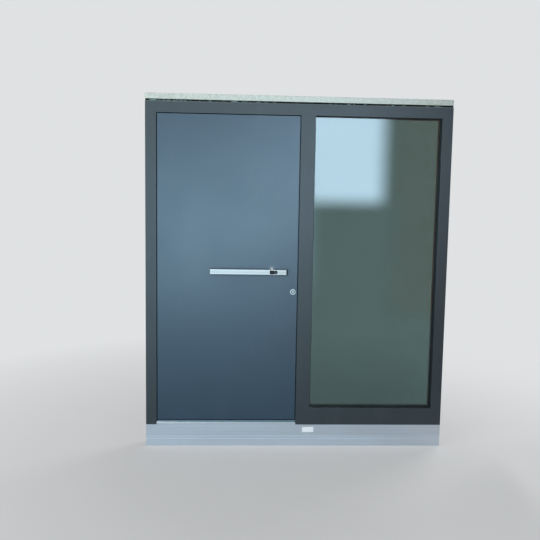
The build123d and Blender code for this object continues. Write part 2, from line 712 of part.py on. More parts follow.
def leaf_inner_sheet():
    """Flush inner sheet, as wide as the leaf's rear part."""
    sheet = box(LEAF_REAR_LEFT, LEAF_REAR_RIGHT, LEAF_INNER_BACK, BACK, LEAF_REAR_LOW, LEAF_REAR_HIGH)
    sheet = chamfer(sheet.faces().sort_by(Axis.Y)[-1].edges(), SHEET_EDGE)
    return cut_all(sheet, [cylinder_hole(), spindle_hole()] + leaf_hinge_screws())


def leaf_core():
    """Foam core between the sheets."""
    x0, x1, z0, z1 = leaf_core_edges()
    core = box(x0, x1, FRONT + LEAF_SHEET, LEAF_INNER_BACK, z0, z1)
    return cut_all(core, post_holes())


# Hinges

def hinge_wing_plan(side):
    """Plan of a hinge plate: side is 1 towards the leaf and -1 towards the frame."""
    near = HINGE_BARREL_R + PIN_CLEARANCE + CUT
    low, high = sorted((HINGE_X + side * near, HINGE_X + side * (near + HINGE_WING)))
    return rect(low, high, BACK, BACK + HINGE_PLATE)


def hinge_barrel_plan(side, bore):
    """Plan of a hinge barrel with the web that joins it to its plate."""
    near = HINGE_BARREL_R + PIN_CLEARANCE + CUT
    low, high = sorted((HINGE_X, HINGE_X + side * near))
    barrel = Pos(HINGE_X, HINGE_Y) * Circle(HINGE_BARREL_R)
    return barrel + rect(low, high, BACK + CUT / 2, BACK + HINGE_PLATE) - Pos(HINGE_X, HINGE_Y) * Circle(bore)


def hinge_screws(side):
    """Screws of the three hinge plates on one side."""
    x = HINGE_X + side * (HINGE_BARREL_R + CUT + HINGE_WING / 2)
    screws = []
    for z in HINGE_ZS:
        for offset in (-HINGE_SCREW_OFFSET, HINGE_SCREW_OFFSET):
            screws.append(screw((x, BACK + HINGE_PLATE, z + offset), (0, 1, 0)))
    return screws


def frame_hinge_screws():
    """Screws that hold the hinges to the left jamb."""
    return hinge_screws(-1)


def leaf_hinge_screws():
    """Screws that hold the hinges to the leaf."""
    return hinge_screws(1)


def hinges():
    """Frame wings with one middle barrel, leaf wings with two, and the pins with their caps."""
    frame_wings = []
    leaf_wings = []
    pins = []
    half = HINGE_HEIGHT / 2
    split = half - HINGE_LEAF_BARREL
    for z in HINGE_ZS:
        plate = upright(hinge_wing_plan(-1), z - half, z + half)
        barrel = upright(hinge_barrel_plan(-1, HINGE_PIN_R), z - split + RUN_GAP, z + split - RUN_GAP)
        frame_wings.append(plate + barrel)
        plate = upright(hinge_wing_plan(1), z - half, z + half)
        bore = HINGE_PIN_R + PIN_CLEARANCE
        plate += upright(hinge_barrel_plan(1, bore), z + split, z + half)
        plate += upright(hinge_barrel_plan(1, bore), z - half, z - split)
        leaf_wings.append(plate)
        pin = upright(Pos(HINGE_X, HINGE_Y) * Circle(HINGE_PIN_R), z - half - RUN_GAP, z + half + RUN_GAP)
        for low in (z - half - RUN_GAP - HINGE_CAP, z + half + RUN_GAP):
            pin += upright(Pos(HINGE_X, HINGE_Y) * Circle(HINGE_CAP_R), low, low + HINGE_CAP)
        pins.append(pin)
    return {
        "hinge_frame_wings": Compound([cut_all(wing, frame_hinge_screws()) for wing in frame_wings]),
        "hinge_leaf_wings": Compound([cut_all(wing, leaf_hinge_screws()) for wing in leaf_wings]),
        "hinge_pins": Compound(pins),
    }


# Bar handle

def bar_plane(x):
    """Section plane of the bar at x, with Z and Y as its axes."""
    return Plane(origin=(x, 0, 0), x_dir=(0, 0, 1), z_dir=(-1, 0, 0))


def bar_section(inset):
    """Rounded section of the bar, made smaller all round by inset."""
    middle = Pos(BAR_Z, (BAR_FRONT + BAR_BACK) / 2)
    corner = BAR_CORNER - inset
    return middle * RectangleRounded(BAR_HEIGHT - 2 * inset, BAR_THICKNESS - 2 * inset, corner)


def bar_piece(x0, x1, inset=0.0):
    """Solid length of the bar's section."""
    return extrude(bar_plane(x1) * bar_section(inset), amount=x1 - x0)


def reader_cuts():
    """Openings in the bar for the reader's window, ring and light."""
    return [window_block(), ring_seat(), light_block()]


def window_block():
    """Block behind and including the reader's window."""
    outline = RectangleRounded(WINDOW_WIDTH, WINDOW_HEIGHT, WINDOW_CORNER)
    front = BAR_FRONT + READER_RECESS
    return through(outline, WINDOW_X, BAR_Z, front, front + READER_DEPTH)


def ring_seat():
    """Round seat of the reader's ring and dish."""
    return rod(RING_R, RING_X, BAR_Z, BAR_FRONT - RING_PROUD, BAR_FRONT + READER_DEPTH)


def light_block():
    """Light insert in the top of the bar, above the window."""
    x0 = WINDOW_X - LIGHT_WIDTH / 2
    y0 = BAR_FRONT + LIGHT_FROM_FRONT - LIGHT_DEPTH / 2
    top = BAR_Z + BAR_HEIGHT / 2
    return box(x0, x0 + LIGHT_WIDTH, y0, y0 + LIGHT_DEPTH, top - BAR_WALL, top + LIGHT_PROUD)


def bar_handle():
    """Brushed tube with its end pieces and posts."""
    tube_left = BAR_LEFT + BAR_LEFT_CAP
    tube_right = BAR_RIGHT - BAR_RIGHT_CAP - BAR_END_PLUG
    tube = bar_piece(tube_left, tube_right) - bar_piece(tube_left - CUT, tube_right + CUT, BAR_WALL)
    # The window's opening runs through the wall to the face, past the recessed glass
    opening = Pos(0, -READER_RECESS, 0) * window_block()
    tube = cut_all(tube, [opening] + reader_cuts())
    left_cap = bar_piece(BAR_LEFT, tube_left)
    left_cap = chamfer(left_cap.faces().sort_by(Axis.X)[0].edges(), CAP_EDGE)
    left_cap += bar_piece(tube_left, tube_left + CAP_SPIGOT, BAR_WALL)
    ring_right = tube_right + BAR_RIGHT_CAP
    end_ring = bar_piece(tube_right - CAP_SPIGOT, tube_right, BAR_WALL) + bar_piece(tube_right, ring_right)
    plug = bar_piece(ring_right, BAR_RIGHT)
    plug = chamfer(plug.faces().sort_by(Axis.X)[-1].edges(), CAP_EDGE)
    posts = []
    for x in POST_XS:
        post = rod(POST_R, x, BAR_Z, BAR_BACK, FRONT)
        posts.append(post + rod(POST_STUD_R, x, BAR_Z, FRONT, FRONT + POST_STUD))
    return {
        "handle_tube": tube,
        "handle_end_left": left_cap,
        "handle_end_ring": end_ring,
        "handle_end_plug": plug,
        "handle_posts": Compound(posts),
    }


def post_holes():
    """Holes in the leaf for the posts' studs."""
    return [rod(POST_STUD_R, x, BAR_Z, FRONT - CUT, FRONT + POST_STUD) for x in POST_XS]


def reader():
    """Finger reader: window block, ring, dish in the ring, and light."""
    seat = ring_seat()
    ring = seat - rod(RING_R - RING_WIDTH, RING_X, BAR_Z, BAR_FRONT - RING_PROUD - CUT, BACK)
    dish_front = BAR_FRONT + READER_RECESS
    dish = rod(RING_R - RING_WIDTH, RING_X, BAR_Z, dish_front, BAR_FRONT + READER_DEPTH)
    hollow_r = ((RING_R - RING_WIDTH) ** 2 + DISH_DEPTH**2) / (2 * DISH_DEPTH)
    dish -= Pos(RING_X, dish_front + DISH_DEPTH - hollow_r, BAR_Z) * Sphere(hollow_r)
    return {
        "reader_window": window_block(),
        "reader_ring": ring,
        "reader_dish": dish,
        "reader_light": light_block(),
    }


# Cylinder, lever and lock

def cylinder_hole():
    """Hole through the leaf for the cylinder."""
    return rod(CYLINDER_R + CYLINDER_CLEARANCE, CYLINDER_X, CYLINDER_Z, FRONT - CUT, BACK + CUT)


def spindle_hole():
    """Hole for the lever's neck and spindle, from the lock case to the inner face."""
    return rod(LEVER_R + RUN_GAP, CYLINDER_X, LEVER_Z, CASE_BACK, BACK + CUT)


def collar(face, outward):
    """Bevelled collar round the cylinder on a face, pointing outward along Y."""
    tip = face + outward * COLLAR_HEIGHT
    low, high = sorted((face, tip))
    ring = rod(COLLAR_R, CYLINDER_X, CYLINDER_Z, low, high)
    end = ring.faces().sort_by(Axis.Y)[0 if outward < 0 else -1]
    ring = chamfer(end.edges(), COLLAR_BEVEL)
    return ring - rod(CYLINDER_R, CYLINDER_X, CYLINDER_Z, low - CUT, high + CUT)


def cylinder():
    """Two screw-in cylinder bodies, the plug through both, its cam and the inside turn."""
    outer_end = FRONT - CYLINDER_STANDOFF
    inner_end = BACK + CYLINDER_STANDOFF
    room = CASE_WALL + BOLT_SLACK
    bore = rod(PLUG_R + PIN_CLEARANCE, CYLINDER_X, CYLINDER_Z, outer_end - CUT, inner_end + CUT)
    bodies = [
        rod(CYLINDER_R, CYLINDER_X, CYLINDER_Z, outer_end, CASE_FRONT + room) - bore,
        rod(CYLINDER_R, CYLINDER_X, CYLINDER_Z, CASE_BACK - room, inner_end) - bore,
    ]
    plug = rod(PLUG_R, CYLINDER_X, CYLINDER_Z, outer_end, inner_end)
    keyway = Rectangle(KEYWAY_WIDTH, KEYWAY_HEIGHT)
    plug -= through(keyway, CYLINDER_X, CYLINDER_Z, outer_end - CUT, outer_end + KEYWAY_DEPTH)
    y0 = CASE_FRONT + room + RUN_GAP
    y1 = CASE_BACK - room - RUN_GAP
    cam = rod(CAM_R, CYLINDER_X, CYLINDER_Z, y0, y1)
    half = CAM_LOBE_WIDTH / 2
    cam += box(CYLINDER_X - CAM_LOBE_R, CYLINDER_X, y0, y1, CYLINDER_Z - half, CYLINDER_Z + half)
    cam -= rod(PLUG_R, CYLINDER_X, CYLINDER_Z, y0 - CUT, y1 + CUT)
    return {
        "cylinder_bodies": Compound(bodies),
        "cylinder_plug": plug,
        "cylinder_cam": cam,
        "cylinder_collars": Compound([collar(FRONT, -1), collar(BACK, 1)]),
        "thumbturn": thumbturn(inner_end),
    }


def thumbturn(start):
    """Inside turn: a round foot that carries a flat grip."""
    foot_start = BACK + COLLAR_HEIGHT + RUN_GAP
    end = foot_start + THUMBTURN_LENGTH
    turn = rod(PLUG_R, CYLINDER_X, CYLINDER_Z, start, foot_start)
    foot = rod(THUMBTURN_R, CYLINDER_X, CYLINDER_Z, foot_start, end)
    middle = foot_start + THUMBTURN_FOOT
    for side in (-1, 1):
        low, high = sorted((side * THUMBTURN_GRIP / 2, side * (THUMBTURN_R + CUT)))
        foot -= box(
            CYLINDER_X + low, CYLINDER_X + high, middle, end + CUT,
            CYLINDER_Z - THUMBTURN_R - CUT, CYLINDER_Z + THUMBTURN_R + CUT,
        )
    return turn + foot


def lever():
    """Inside lever bent from round bar, its rose, and the square spindle with the lock's hub on it."""
    start = BACK + RUN_GAP
    out = BACK + LEVER_STANDOFF
    far = CYLINDER_X - LEVER_REACH
    points = [(CYLINDER_X, start, LEVER_Z), (CYLINDER_X, out, LEVER_Z), (far, out, LEVER_Z)]
    path = FilletPolyline(*points, radius=LEVER_BEND)
    handle = sweep(Plane(origin=points[0], z_dir=(0, 1, 0)) * Circle(LEVER_R), path=path)
    handle = chamfer(handle.faces().sort_by(Axis.X)[0].edges(), LEVER_EDGE)
    side = SPINDLE_SIDE
    y0 = CASE_FRONT + CASE_WALL + RUN_GAP
    y1 = CASE_BACK - CASE_WALL - RUN_GAP
    square = through(Rectangle(side, side), CYLINDER_X, LEVER_Z, y0, start + SPINDLE_IN_LEVER)
    handle -= square
    rose = rod(ROSE_R, CYLINDER_X, LEVER_Z, BACK, BACK + ROSE_HEIGHT)
    rose = chamfer(rose.faces().sort_by(Axis.Y)[-1].edges(), ROSE_EDGE)
    rose -= rod(LEVER_R + RUN_GAP, CYLINDER_X, LEVER_Z, BACK - CUT, BACK + ROSE_HEIGHT + CUT)
    return {
        "lever_handle": handle,
        "lever_rose": rose,
        "lever_spindle": square + rod(HUB_R, CYLINDER_X, LEVER_Z, y0, y1),
    }


def bolt(x0, z, height, slack=0.0):
    """Flat bolt from x0 to the faceplate's face, or its clearance when slack is given."""
    half = BOLT_THICKNESS / 2 + slack
    nose = BOLT_NOSE if slack == 0.0 else LEAF_REAR_RIGHT + CUT
    return box(x0, nose, LOCK_Y - half, LOCK_Y + half, z - height / 2 - slack, z + height / 2 + slack)


def bolt_slots():
    """Clearance of the deadbolt, latch and side bolts through the faceplate and case fronts."""
    x0 = FACEPLATE_BACK - CASE_WALL - CUT
    slots = [bolt(x0, DEADBOLT_Z, BOLT_HEIGHT, BOLT_SLACK), bolt(x0, LATCH_Z, LATCH_HEIGHT, BOLT_SLACK)]
    return slots + [bolt(x0, z, BOLT_HEIGHT, BOLT_SLACK) for z in SIDE_BOLT_ZS]


def case_box(depth, z0, z1, grow=0.0):
    """Outside of a lock case behind the faceplate, grown by a fitting gap when it is a pocket."""
    y0 = CASE_FRONT - grow
    return box(FACEPLATE_BACK - depth - grow, FACEPLATE_BACK, y0, CASE_BACK + grow, z0 - grow, z1 + grow)


def case_pockets():
    """Openings in the lock stile for the three cases."""
    pockets = [case_box(CASE_DEPTH, CASE_LOW, CASE_HIGH, CYLINDER_CLEARANCE)]
    for z in SIDE_BOLT_ZS:
        pockets.append(case_box(SIDE_CASE_DEPTH, z - SIDE_CASE_HALF, z + SIDE_CASE_HALF, CYLINDER_CLEARANCE))
    return pockets


def hollow_case(depth, z0, z1):
    """Sheet metal case, closed all round but for its slots."""
    inside = box(
        FACEPLATE_BACK - depth + CASE_WALL, FACEPLATE_BACK - CASE_WALL, CASE_FRONT + CASE_WALL,
        CASE_BACK - CASE_WALL, z0 + CASE_WALL, z1 - CASE_WALL,
    )
    return case_box(depth, z0, z1) - inside


def rod_box(z0, z1, slack=0.0):
    """Drive rod behind the stile's wall, or its clearance when slack is given."""
    x1 = FACEPLATE_BACK - PROFILE_WALL - RUN_GAP + slack
    half = ROD_WIDTH / 2 + slack
    return box(x1 - ROD_THICKNESS - 2 * slack, x1, LOCK_Y - half, LOCK_Y + half, z0, z1)


def rod_spans():
    """Lower and upper ends of the two drive rods at rest."""
    lower = (SIDE_BOLT_ZS[0] + SIDE_CASE_HALF - ROD_IN_CASE, CASE_LOW + ROD_TIP_IN_CASE)
    upper = (CASE_HIGH - ROD_IN_CASE, SIDE_BOLT_ZS[1] - SIDE_CASE_HALF + ROD_TIP_IN_CASE)
    return [lower, upper]


def lock_cases():
    """Main case and two side cases, with the openings that the moving pieces need."""
    cases = [hollow_case(CASE_DEPTH, CASE_LOW, CASE_HIGH)]
    for z in SIDE_BOLT_ZS:
        cases.append(hollow_case(SIDE_CASE_DEPTH, z - SIDE_CASE_HALF, z + SIDE_CASE_HALF))
    bodies = rod(CYLINDER_R, CYLINDER_X, CYLINDER_Z, CASE_FRONT - CUT, CASE_BACK + CUT)
    neck = rod(SPINDLE_HOLE_R, CYLINDER_X, LEVER_Z, CASE_FRONT + CASE_WALL, CASE_BACK + CUT)
    rods = [rod_box(z0, z1, BOLT_SLACK) for z0, z1 in rod_spans()]
    tools = bolt_slots() + rods + [bodies, neck]
    return Compound([cut_all(case, tools) for case in cases])


def faceplate_screws():
    """Screws that hold the faceplate, two near each case."""
    places = []
    for z0, z1 in (
        (SIDE_BOLT_ZS[0] - SIDE_CASE_HALF, SIDE_BOLT_ZS[0] + SIDE_CASE_HALF),
        (CASE_LOW, CASE_HIGH),
        (SIDE_BOLT_ZS[1] - SIDE_CASE_HALF, SIDE_BOLT_ZS[1] + SIDE_CASE_HALF),
    ):
        places += [z0 - 2 * SCREW_HEAD_R, z1 + 2 * SCREW_HEAD_R]
    return [short_screw((LEAF_REAR_RIGHT, LOCK_Y, z), (1, 0, 0)) for z in places]


def short_screw(place, direction):
    """Countersunk screw that ends in the profile's wall."""
    head = SCREW_HEAD_R - SCREW_SHANK_R
    length = LOCK_GROOVE_DEPTH + PROFILE_WALL
    body = Pos(0, 0, -head / 2) * Cone(SCREW_SHANK_R, SCREW_HEAD_R, head)
    body += Pos(0, 0, -length / 2) * Cylinder(SCREW_SHANK_R, length)
    return Plane(origin=place, z_dir=direction) * body


def faceplate():
    """Long flat faceplate with rounded ends, in the lock groove."""
    z0 = SIDE_BOLT_ZS[0] - SIDE_CASE_HALF - FACEPLATE_MARGIN
    z1 = SIDE_BOLT_ZS[1] + SIDE_CASE_HALF + FACEPLATE_MARGIN
    half = LOCK_GROOVE_WIDTH / 2
    plate = box(FACEPLATE_BACK, LEAF_REAR_RIGHT, LOCK_Y - half, LOCK_Y + half, z0, z1)
    plate = fillet(plate.edges().filter_by(Axis.X), FACEPLATE_CORNER)
    return cut_all(plate, bolt_slots() + faceplate_screws())


def latch_bolt():
    """Latch whose nose is bevelled towards the outside, where it meets the keep on closing."""
    latch = bolt(BOLT_NOSE - BOLT_LENGTH, LATCH_Z, LATCH_HEIGHT)
    tip = BOLT_NOSE + CUT
    side = LOCK_Y - BOLT_THICKNESS / 2 - CUT
    reach = LATCH_BEVEL + 2 * CUT
    wedge = Polygon((tip, side), (tip, side + reach), (tip - reach, side), align=None)
    return latch - upright(wedge, LATCH_Z - LATCH_HEIGHT, LATCH_Z + LATCH_HEIGHT)


def moving_bolts():
    """Latch, deadbolt, side bolts and the rods that link the cases."""
    return {
        "latch_bolt": latch_bolt(),
        "deadbolt": bolt(BOLT_NOSE - BOLT_LENGTH, DEADBOLT_Z, BOLT_HEIGHT),
        "side_bolts": Compound([bolt(BOLT_NOSE - SIDE_BOLT_LENGTH, z, BOLT_HEIGHT) for z in SIDE_BOLT_ZS]),
        "drive_rods": Compound([rod_box(z0, z1) for z0, z1 in rod_spans()]),
    }


# Strike plates

def keep_spans():
    """Height ranges of the bolts' openings in the strike plates."""
    spans = [(DEADBOLT_Z, BOLT_HEIGHT), (LATCH_Z, LATCH_HEIGHT)]
    return spans + [(z, BOLT_HEIGHT) for z in SIDE_BOLT_ZS]


def keep_openings():
    """Openings for the bolts through the strike plates and the mullion's wall."""
    half = BOLT_THICKNESS / 2 + BOLT_SLACK
    x1 = STRIKE_FACE + STRIKE_SHEET + PROFILE_WALL + CUT
    cuts = []
    for z, height in keep_spans():
        reach = height / 2 + BOLT_SLACK
        cuts.append(box(STRIKE_FACE - CUT, x1, LOCK_Y - half, LOCK_Y + half, z - reach, z + reach))
    return cuts


def strike_spans():
    """Lower and upper ends of the three strike plates."""
    reach = BOLT_HEIGHT / 2 + STRIKE_MARGIN
    spans = [(DEADBOLT_Z - reach, LATCH_Z + reach)]
    return spans + [(z - reach, z + reach) for z in SIDE_BOLT_ZS]


def strike_screws():
    """Screws of the strike plates."""
    screws = []
    for z0, z1 in strike_spans():
        for z in (z0 + STRIKE_MARGIN / 2, z1 - STRIKE_MARGIN / 2):
            screws.append(screw((STRIKE_FACE, LOCK_Y, z), (-1, 0, 0)))
    return screws


def keep_holes():
    """Everything the strike plates need cut in the mullion."""
    return keep_openings() + strike_screws()


def strike_plates():
    """Three strike plates on the mullion's rebate floor."""
    half = STRIKE_WIDTH / 2
    plates = []
    for z0, z1 in strike_spans():
        plate = box(STRIKE_FACE, STRIKE_FACE + STRIKE_SHEET, LOCK_Y - half, LOCK_Y + half, z0, z1)
        plate = fillet(plate.edges().filter_by(Axis.X), STRIKE_CORNER)
        plates.append(cut_all(plate, keep_holes()))
    return Compound(plates)


def build_nodes():
    """All pieces, by name."""
    nodes = frame_bars()
    nodes["jamb_left_inner"] = cut_all(nodes["jamb_left_inner"], frame_hinge_screws())
    nodes["threshold_outer"] = threshold_outer()
    nodes["threshold_inner"] = threshold_inner()
    nodes["base_profile"] = base_profile()
    nodes["head_sealing_tape"] = head_tape()
    nodes["head_strip"] = head_strip()
    nodes.update(glass_unit())
    nodes.update(glazing())
    nodes["frame_seal"] = frame_seal()
    nodes["leaf_bottom_seal"] = leaf_bottom_seal()
    nodes["leaf_outer_sheet"] = leaf_outer_sheet()
    nodes["leaf_inner_sheet"] = leaf_inner_sheet()
    nodes["leaf_core"] = leaf_core()
    nodes.update(leaf_profiles())
    nodes.update(hinges())
    nodes.update(bar_handle())
    nodes.update(reader())
    nodes.update(cylinder())
    nodes.update(lever())
    nodes["lock_cases"] = lock_cases()
    nodes["lock_faceplate"] = faceplate()
    nodes.update(moving_bolts())
    nodes["strike_plates"] = strike_plates()
    nodes["frame_screws"] = Compound(frame_hinge_screws() + strike_screws())
    nodes["leaf_screws"] = Compound(leaf_hinge_screws() + faceplate_screws())
    return nodes


os.makedirs("parts", exist_ok=True)
for name, piece in build_nodes().items():
    export_step(piece, f"parts/{name}.step")
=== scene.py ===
"""Looks of the glass entrance door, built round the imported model."""
import logging
import math
import random
from dataclasses import dataclass, replace
from enum import Enum

import bmesh
import bpy
from mathutils import Matrix, Vector, noise


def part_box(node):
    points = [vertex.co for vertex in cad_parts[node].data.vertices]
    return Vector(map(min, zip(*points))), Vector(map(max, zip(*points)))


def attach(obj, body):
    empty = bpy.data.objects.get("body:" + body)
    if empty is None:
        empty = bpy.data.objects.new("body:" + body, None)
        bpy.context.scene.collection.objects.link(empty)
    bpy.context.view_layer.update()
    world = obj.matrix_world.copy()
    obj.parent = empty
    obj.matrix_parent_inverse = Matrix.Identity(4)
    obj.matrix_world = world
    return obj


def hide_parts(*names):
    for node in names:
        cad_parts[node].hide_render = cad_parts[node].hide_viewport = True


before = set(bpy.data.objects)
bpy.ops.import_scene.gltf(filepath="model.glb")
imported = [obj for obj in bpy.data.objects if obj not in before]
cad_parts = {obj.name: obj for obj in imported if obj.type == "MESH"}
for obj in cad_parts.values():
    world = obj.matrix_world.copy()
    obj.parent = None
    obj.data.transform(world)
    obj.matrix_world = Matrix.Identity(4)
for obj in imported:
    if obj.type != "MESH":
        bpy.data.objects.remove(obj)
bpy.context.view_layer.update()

WELD = 1e-6
SAME_PLANE = 1e-5
SORT_BY = Vector((1.0, 0.013, 0.17))
MIX_FIRST, MIX_SECOND, MIX_RESULT = 6, 7, 2
Colour = tuple[float, float, float]
Place = tuple[float, float, float]
Span = tuple[float, float]
Mesh = bmesh.types.BMesh
Socket = bpy.types.NodeSocket
Source = float | Colour | Socket

log = logging.getLogger("entrance_door")


class Body(Enum):
    """What a new piece moves with."""

    FRAME = "frame"
    LEAF = "leaf"


class Slot(Enum):
    """Names of material slots for new pieces, which nothing here uses."""

    FOAM_TAPE = "foam_tape"
    BOLT_STEEL = "bolt_steel"


class Axis(Enum):
    """Directions of the frame."""

    X = "X"
    Y = "Y"
    Z = "Z"


@dataclass(frozen=True)
class Pattern:
    """Noise: cells in a metre, finer layers and their weight, and stretch along X, Y and Z."""

    scale: float
    detail: float = 2.0
    weight: float = 0.5
    stretch: Place | None = None


@dataclass(frozen=True)
class Veil:
    """How a colour covers another: where its pattern starts and is full, and its most cover."""

    start: float
    full: float
    most: float


class Grain(Enum):
    """Which way a finish's lines run, as their stretch."""

    ALONG_X = (1.5, 420.0, 420.0)
    ALONG_Y = (420.0, 1.5, 420.0)
    ALONG_Z = (420.0, 420.0, 1.5)


class Graph:
    """The nodes of a material or of the world."""

    def __init__(self, tree: bpy.types.NodeTree) -> None:
        """Start without nodes."""
        self.tree = tree
        self.tree.nodes.clear()

    def add(
        self, kind: str, feeds: dict[str | int, Source] | None = None, **settings: object
    ) -> bpy.types.Node:
        """Add a node.

        Args:
            kind: The end of its type name, after ShaderNode.
            feeds: What goes into its inputs, by name or place.
            settings: Properties to set on it.

        Returns:
            The new node.
        """
        node = self.tree.nodes.new("ShaderNode" + kind)
        for name, value in settings.items():
            setattr(node, name, value)
        for key, source in (feeds or {}).items():
            self.feed(node.inputs[key], source)
        return node

    def feed(self, target: Socket, source: Source) -> None:
        """Link a socket to the target, or write a plain value on it.

        Args:
            target: The input.
            source: A socket, a number or a colour.
        """
        if isinstance(source, Socket):
            self.tree.links.new(source, target)
        else:
            target.default_value = (*source, 1.0) if target.type == "RGBA" else source


class Shading(Graph):
    """A material with one main shader, and what feeds it."""

    def __init__(self, name: str) -> None:
        """Start a material with its main shader at the output.

        Args:
            name: Its name.
        """
        self.material = bpy.data.materials.new(name)
        self.material.use_nodes = True
        super().__init__(self.material.node_tree)
        self.output = self.add("OutputMaterial")
        self.shader = self.add("BsdfPrincipled")
        self.feed(self.output.inputs["Surface"], self.shader.outputs["BSDF"])
        self.place = self.add("TexCoord").outputs["Object"]

    def set(self, **inputs: float | Colour) -> None:
        """Write plain values on the main shader's own sockets.

        Args:
            inputs: Values by the sockets' names, in small letters and with _ for spaces.
        """
        sockets = {s.name.lower().replace(" ", "_"): s for s in self.shader.inputs}
        for name, value in inputs.items():
            self.feed(sockets[name], value)

    def mapped(self, scale: Place, centre: Place = (0.0, 0.0, 0.0)) -> Socket:
        """Move Object coordinates to a new origin and stretch them."""
        moved = self.add("VectorMath", {0: self.place, 1: centre}, operation="SUBTRACT").outputs[0]
        return self.add("VectorMath", {0: moved, 1: scale}, operation="MULTIPLY").outputs[0]

    def length(self, vector: Socket) -> Socket:
        """Measure how far coordinates are from their origin."""
        return self.add("VectorMath", {0: vector}, operation="LENGTH").outputs["Value"]

    def noise(self, pattern: Pattern) -> Socket:
        """Add a noise pattern.

        Args:
            pattern: What it is like.

        Returns:
            The noise from 0 to 1.
        """
        vector = self.mapped(pattern.stretch) if pattern.stretch else self.place
        feeds = {"Scale": pattern.scale, "Detail": pattern.detail, "Roughness": pattern.weight}
        return self.add("TexNoise", {**feeds, "Vector": vector}).outputs["Fac"]

    def cells(self, scale: float, output: str) -> Socket:
        """Add uneven cells: a Color for each, or the Distance from their middles."""
        return self.add("TexVoronoi", {"Scale": scale, "Vector": self.place}).outputs[output]

    def span(
        self, source: Source, low: float = 0.3, high: float = 0.7, to_low: float = 0.0,
        to_high: float = 1.0, ease: str = "LINEAR",
    ) -> Socket:
        """Stretch a range, by default a noise's usual one, to another and clamp it."""
        ends = {"Value": source, "From Min": low, "From Max": high, "To Min": to_low, "To Max": to_high}
        return self.add("MapRange", ends, clamp=True, interpolation_type=ease).outputs["Result"]

    def sum(self, a: Source, b: Source, operation: str = "ADD") -> Socket:
        """Work out one value from two."""
        return self.add("Math", {0: a, 1: b}, operation=operation).outputs[0]

    def blend(self, share: Source, first: Source, second: Source) -> Socket:
        """Mix two colours, by the share of the second one."""
        feeds = {"Factor": share, MIX_FIRST: first, MIX_SECOND: second}
        return self.add("Mix", feeds, data_type="RGBA").outputs[MIX_RESULT]

    def shades(self, share: Source, base: Colour, first: float, second: float) -> Socket:
        """Mix two shades of one colour, stated as factors."""
        return self.blend(share, lighter(base, first), lighter(base, second))

    def veil(self, under: Source, pattern: Source, veil: Veil, over: Colour) -> Socket:
        """Lay a colour over another where a pattern is strong."""
        return self.blend(self.span(pattern, veil.start, veil.full, 0.0, veil.most), under, over)

    def axis(self, axis: Axis) -> Socket:
        """Take one of the Object coordinates, in metres."""
        return self.add("SeparateXYZ", {0: self.place}).outputs[axis.value]

    def colour(self, source: Source) -> None:
        """Feed the main shader's colour."""
        self.feed(self.shader.inputs["Base Color"], source)

    def roughness(self, source: Source) -> None:
        """Feed the main shader's roughness."""
        self.feed(self.shader.inputs["Roughness"], source)

    def bump(self, height: Source, depth: float, strength: float) -> None:
        """Raise the surface by a pattern, to a depth in metres."""
        node = self.add("Bump", {"Strength": strength, "Distance": depth, "Height": height})
        self.feed(self.shader.inputs["Normal"], node.outputs["Normal"])

    def glow(self, colour: Source, level: float = 1.0) -> Socket:
        """Add a shader that only glows."""
        return self.add("Emission", {"Color": colour, "Strength": level}).outputs[0]

    def show(self, share: Source, below: Socket, above: Socket) -> None:
        """Show two shaders, by the share of the upper one."""
        mix = self.add("MixShader", {0: share, 1: below, 2: above})
        self.feed(self.output.inputs["Surface"], mix.outputs[0])


def lighter(colour: Colour, factor: float) -> Colour:
    """Make a colour lighter or darker by a factor."""
    return tuple(min(1.0, c * factor) for c in colour)


@dataclass(frozen=True)
class Finish:
    """A surface finish that draws its own material."""

    name: str

    def material(self) -> bpy.types.Material:
        """Make the finish's material.

        Returns:
            The material.
        """
        g = Shading(self.name)
        self.draw(g)
        return g.material

    def draw(self, g: Shading) -> None:
        """Draw the finish.

        Args:
            g: Its nodes.
        """
        raise NotImplementedError


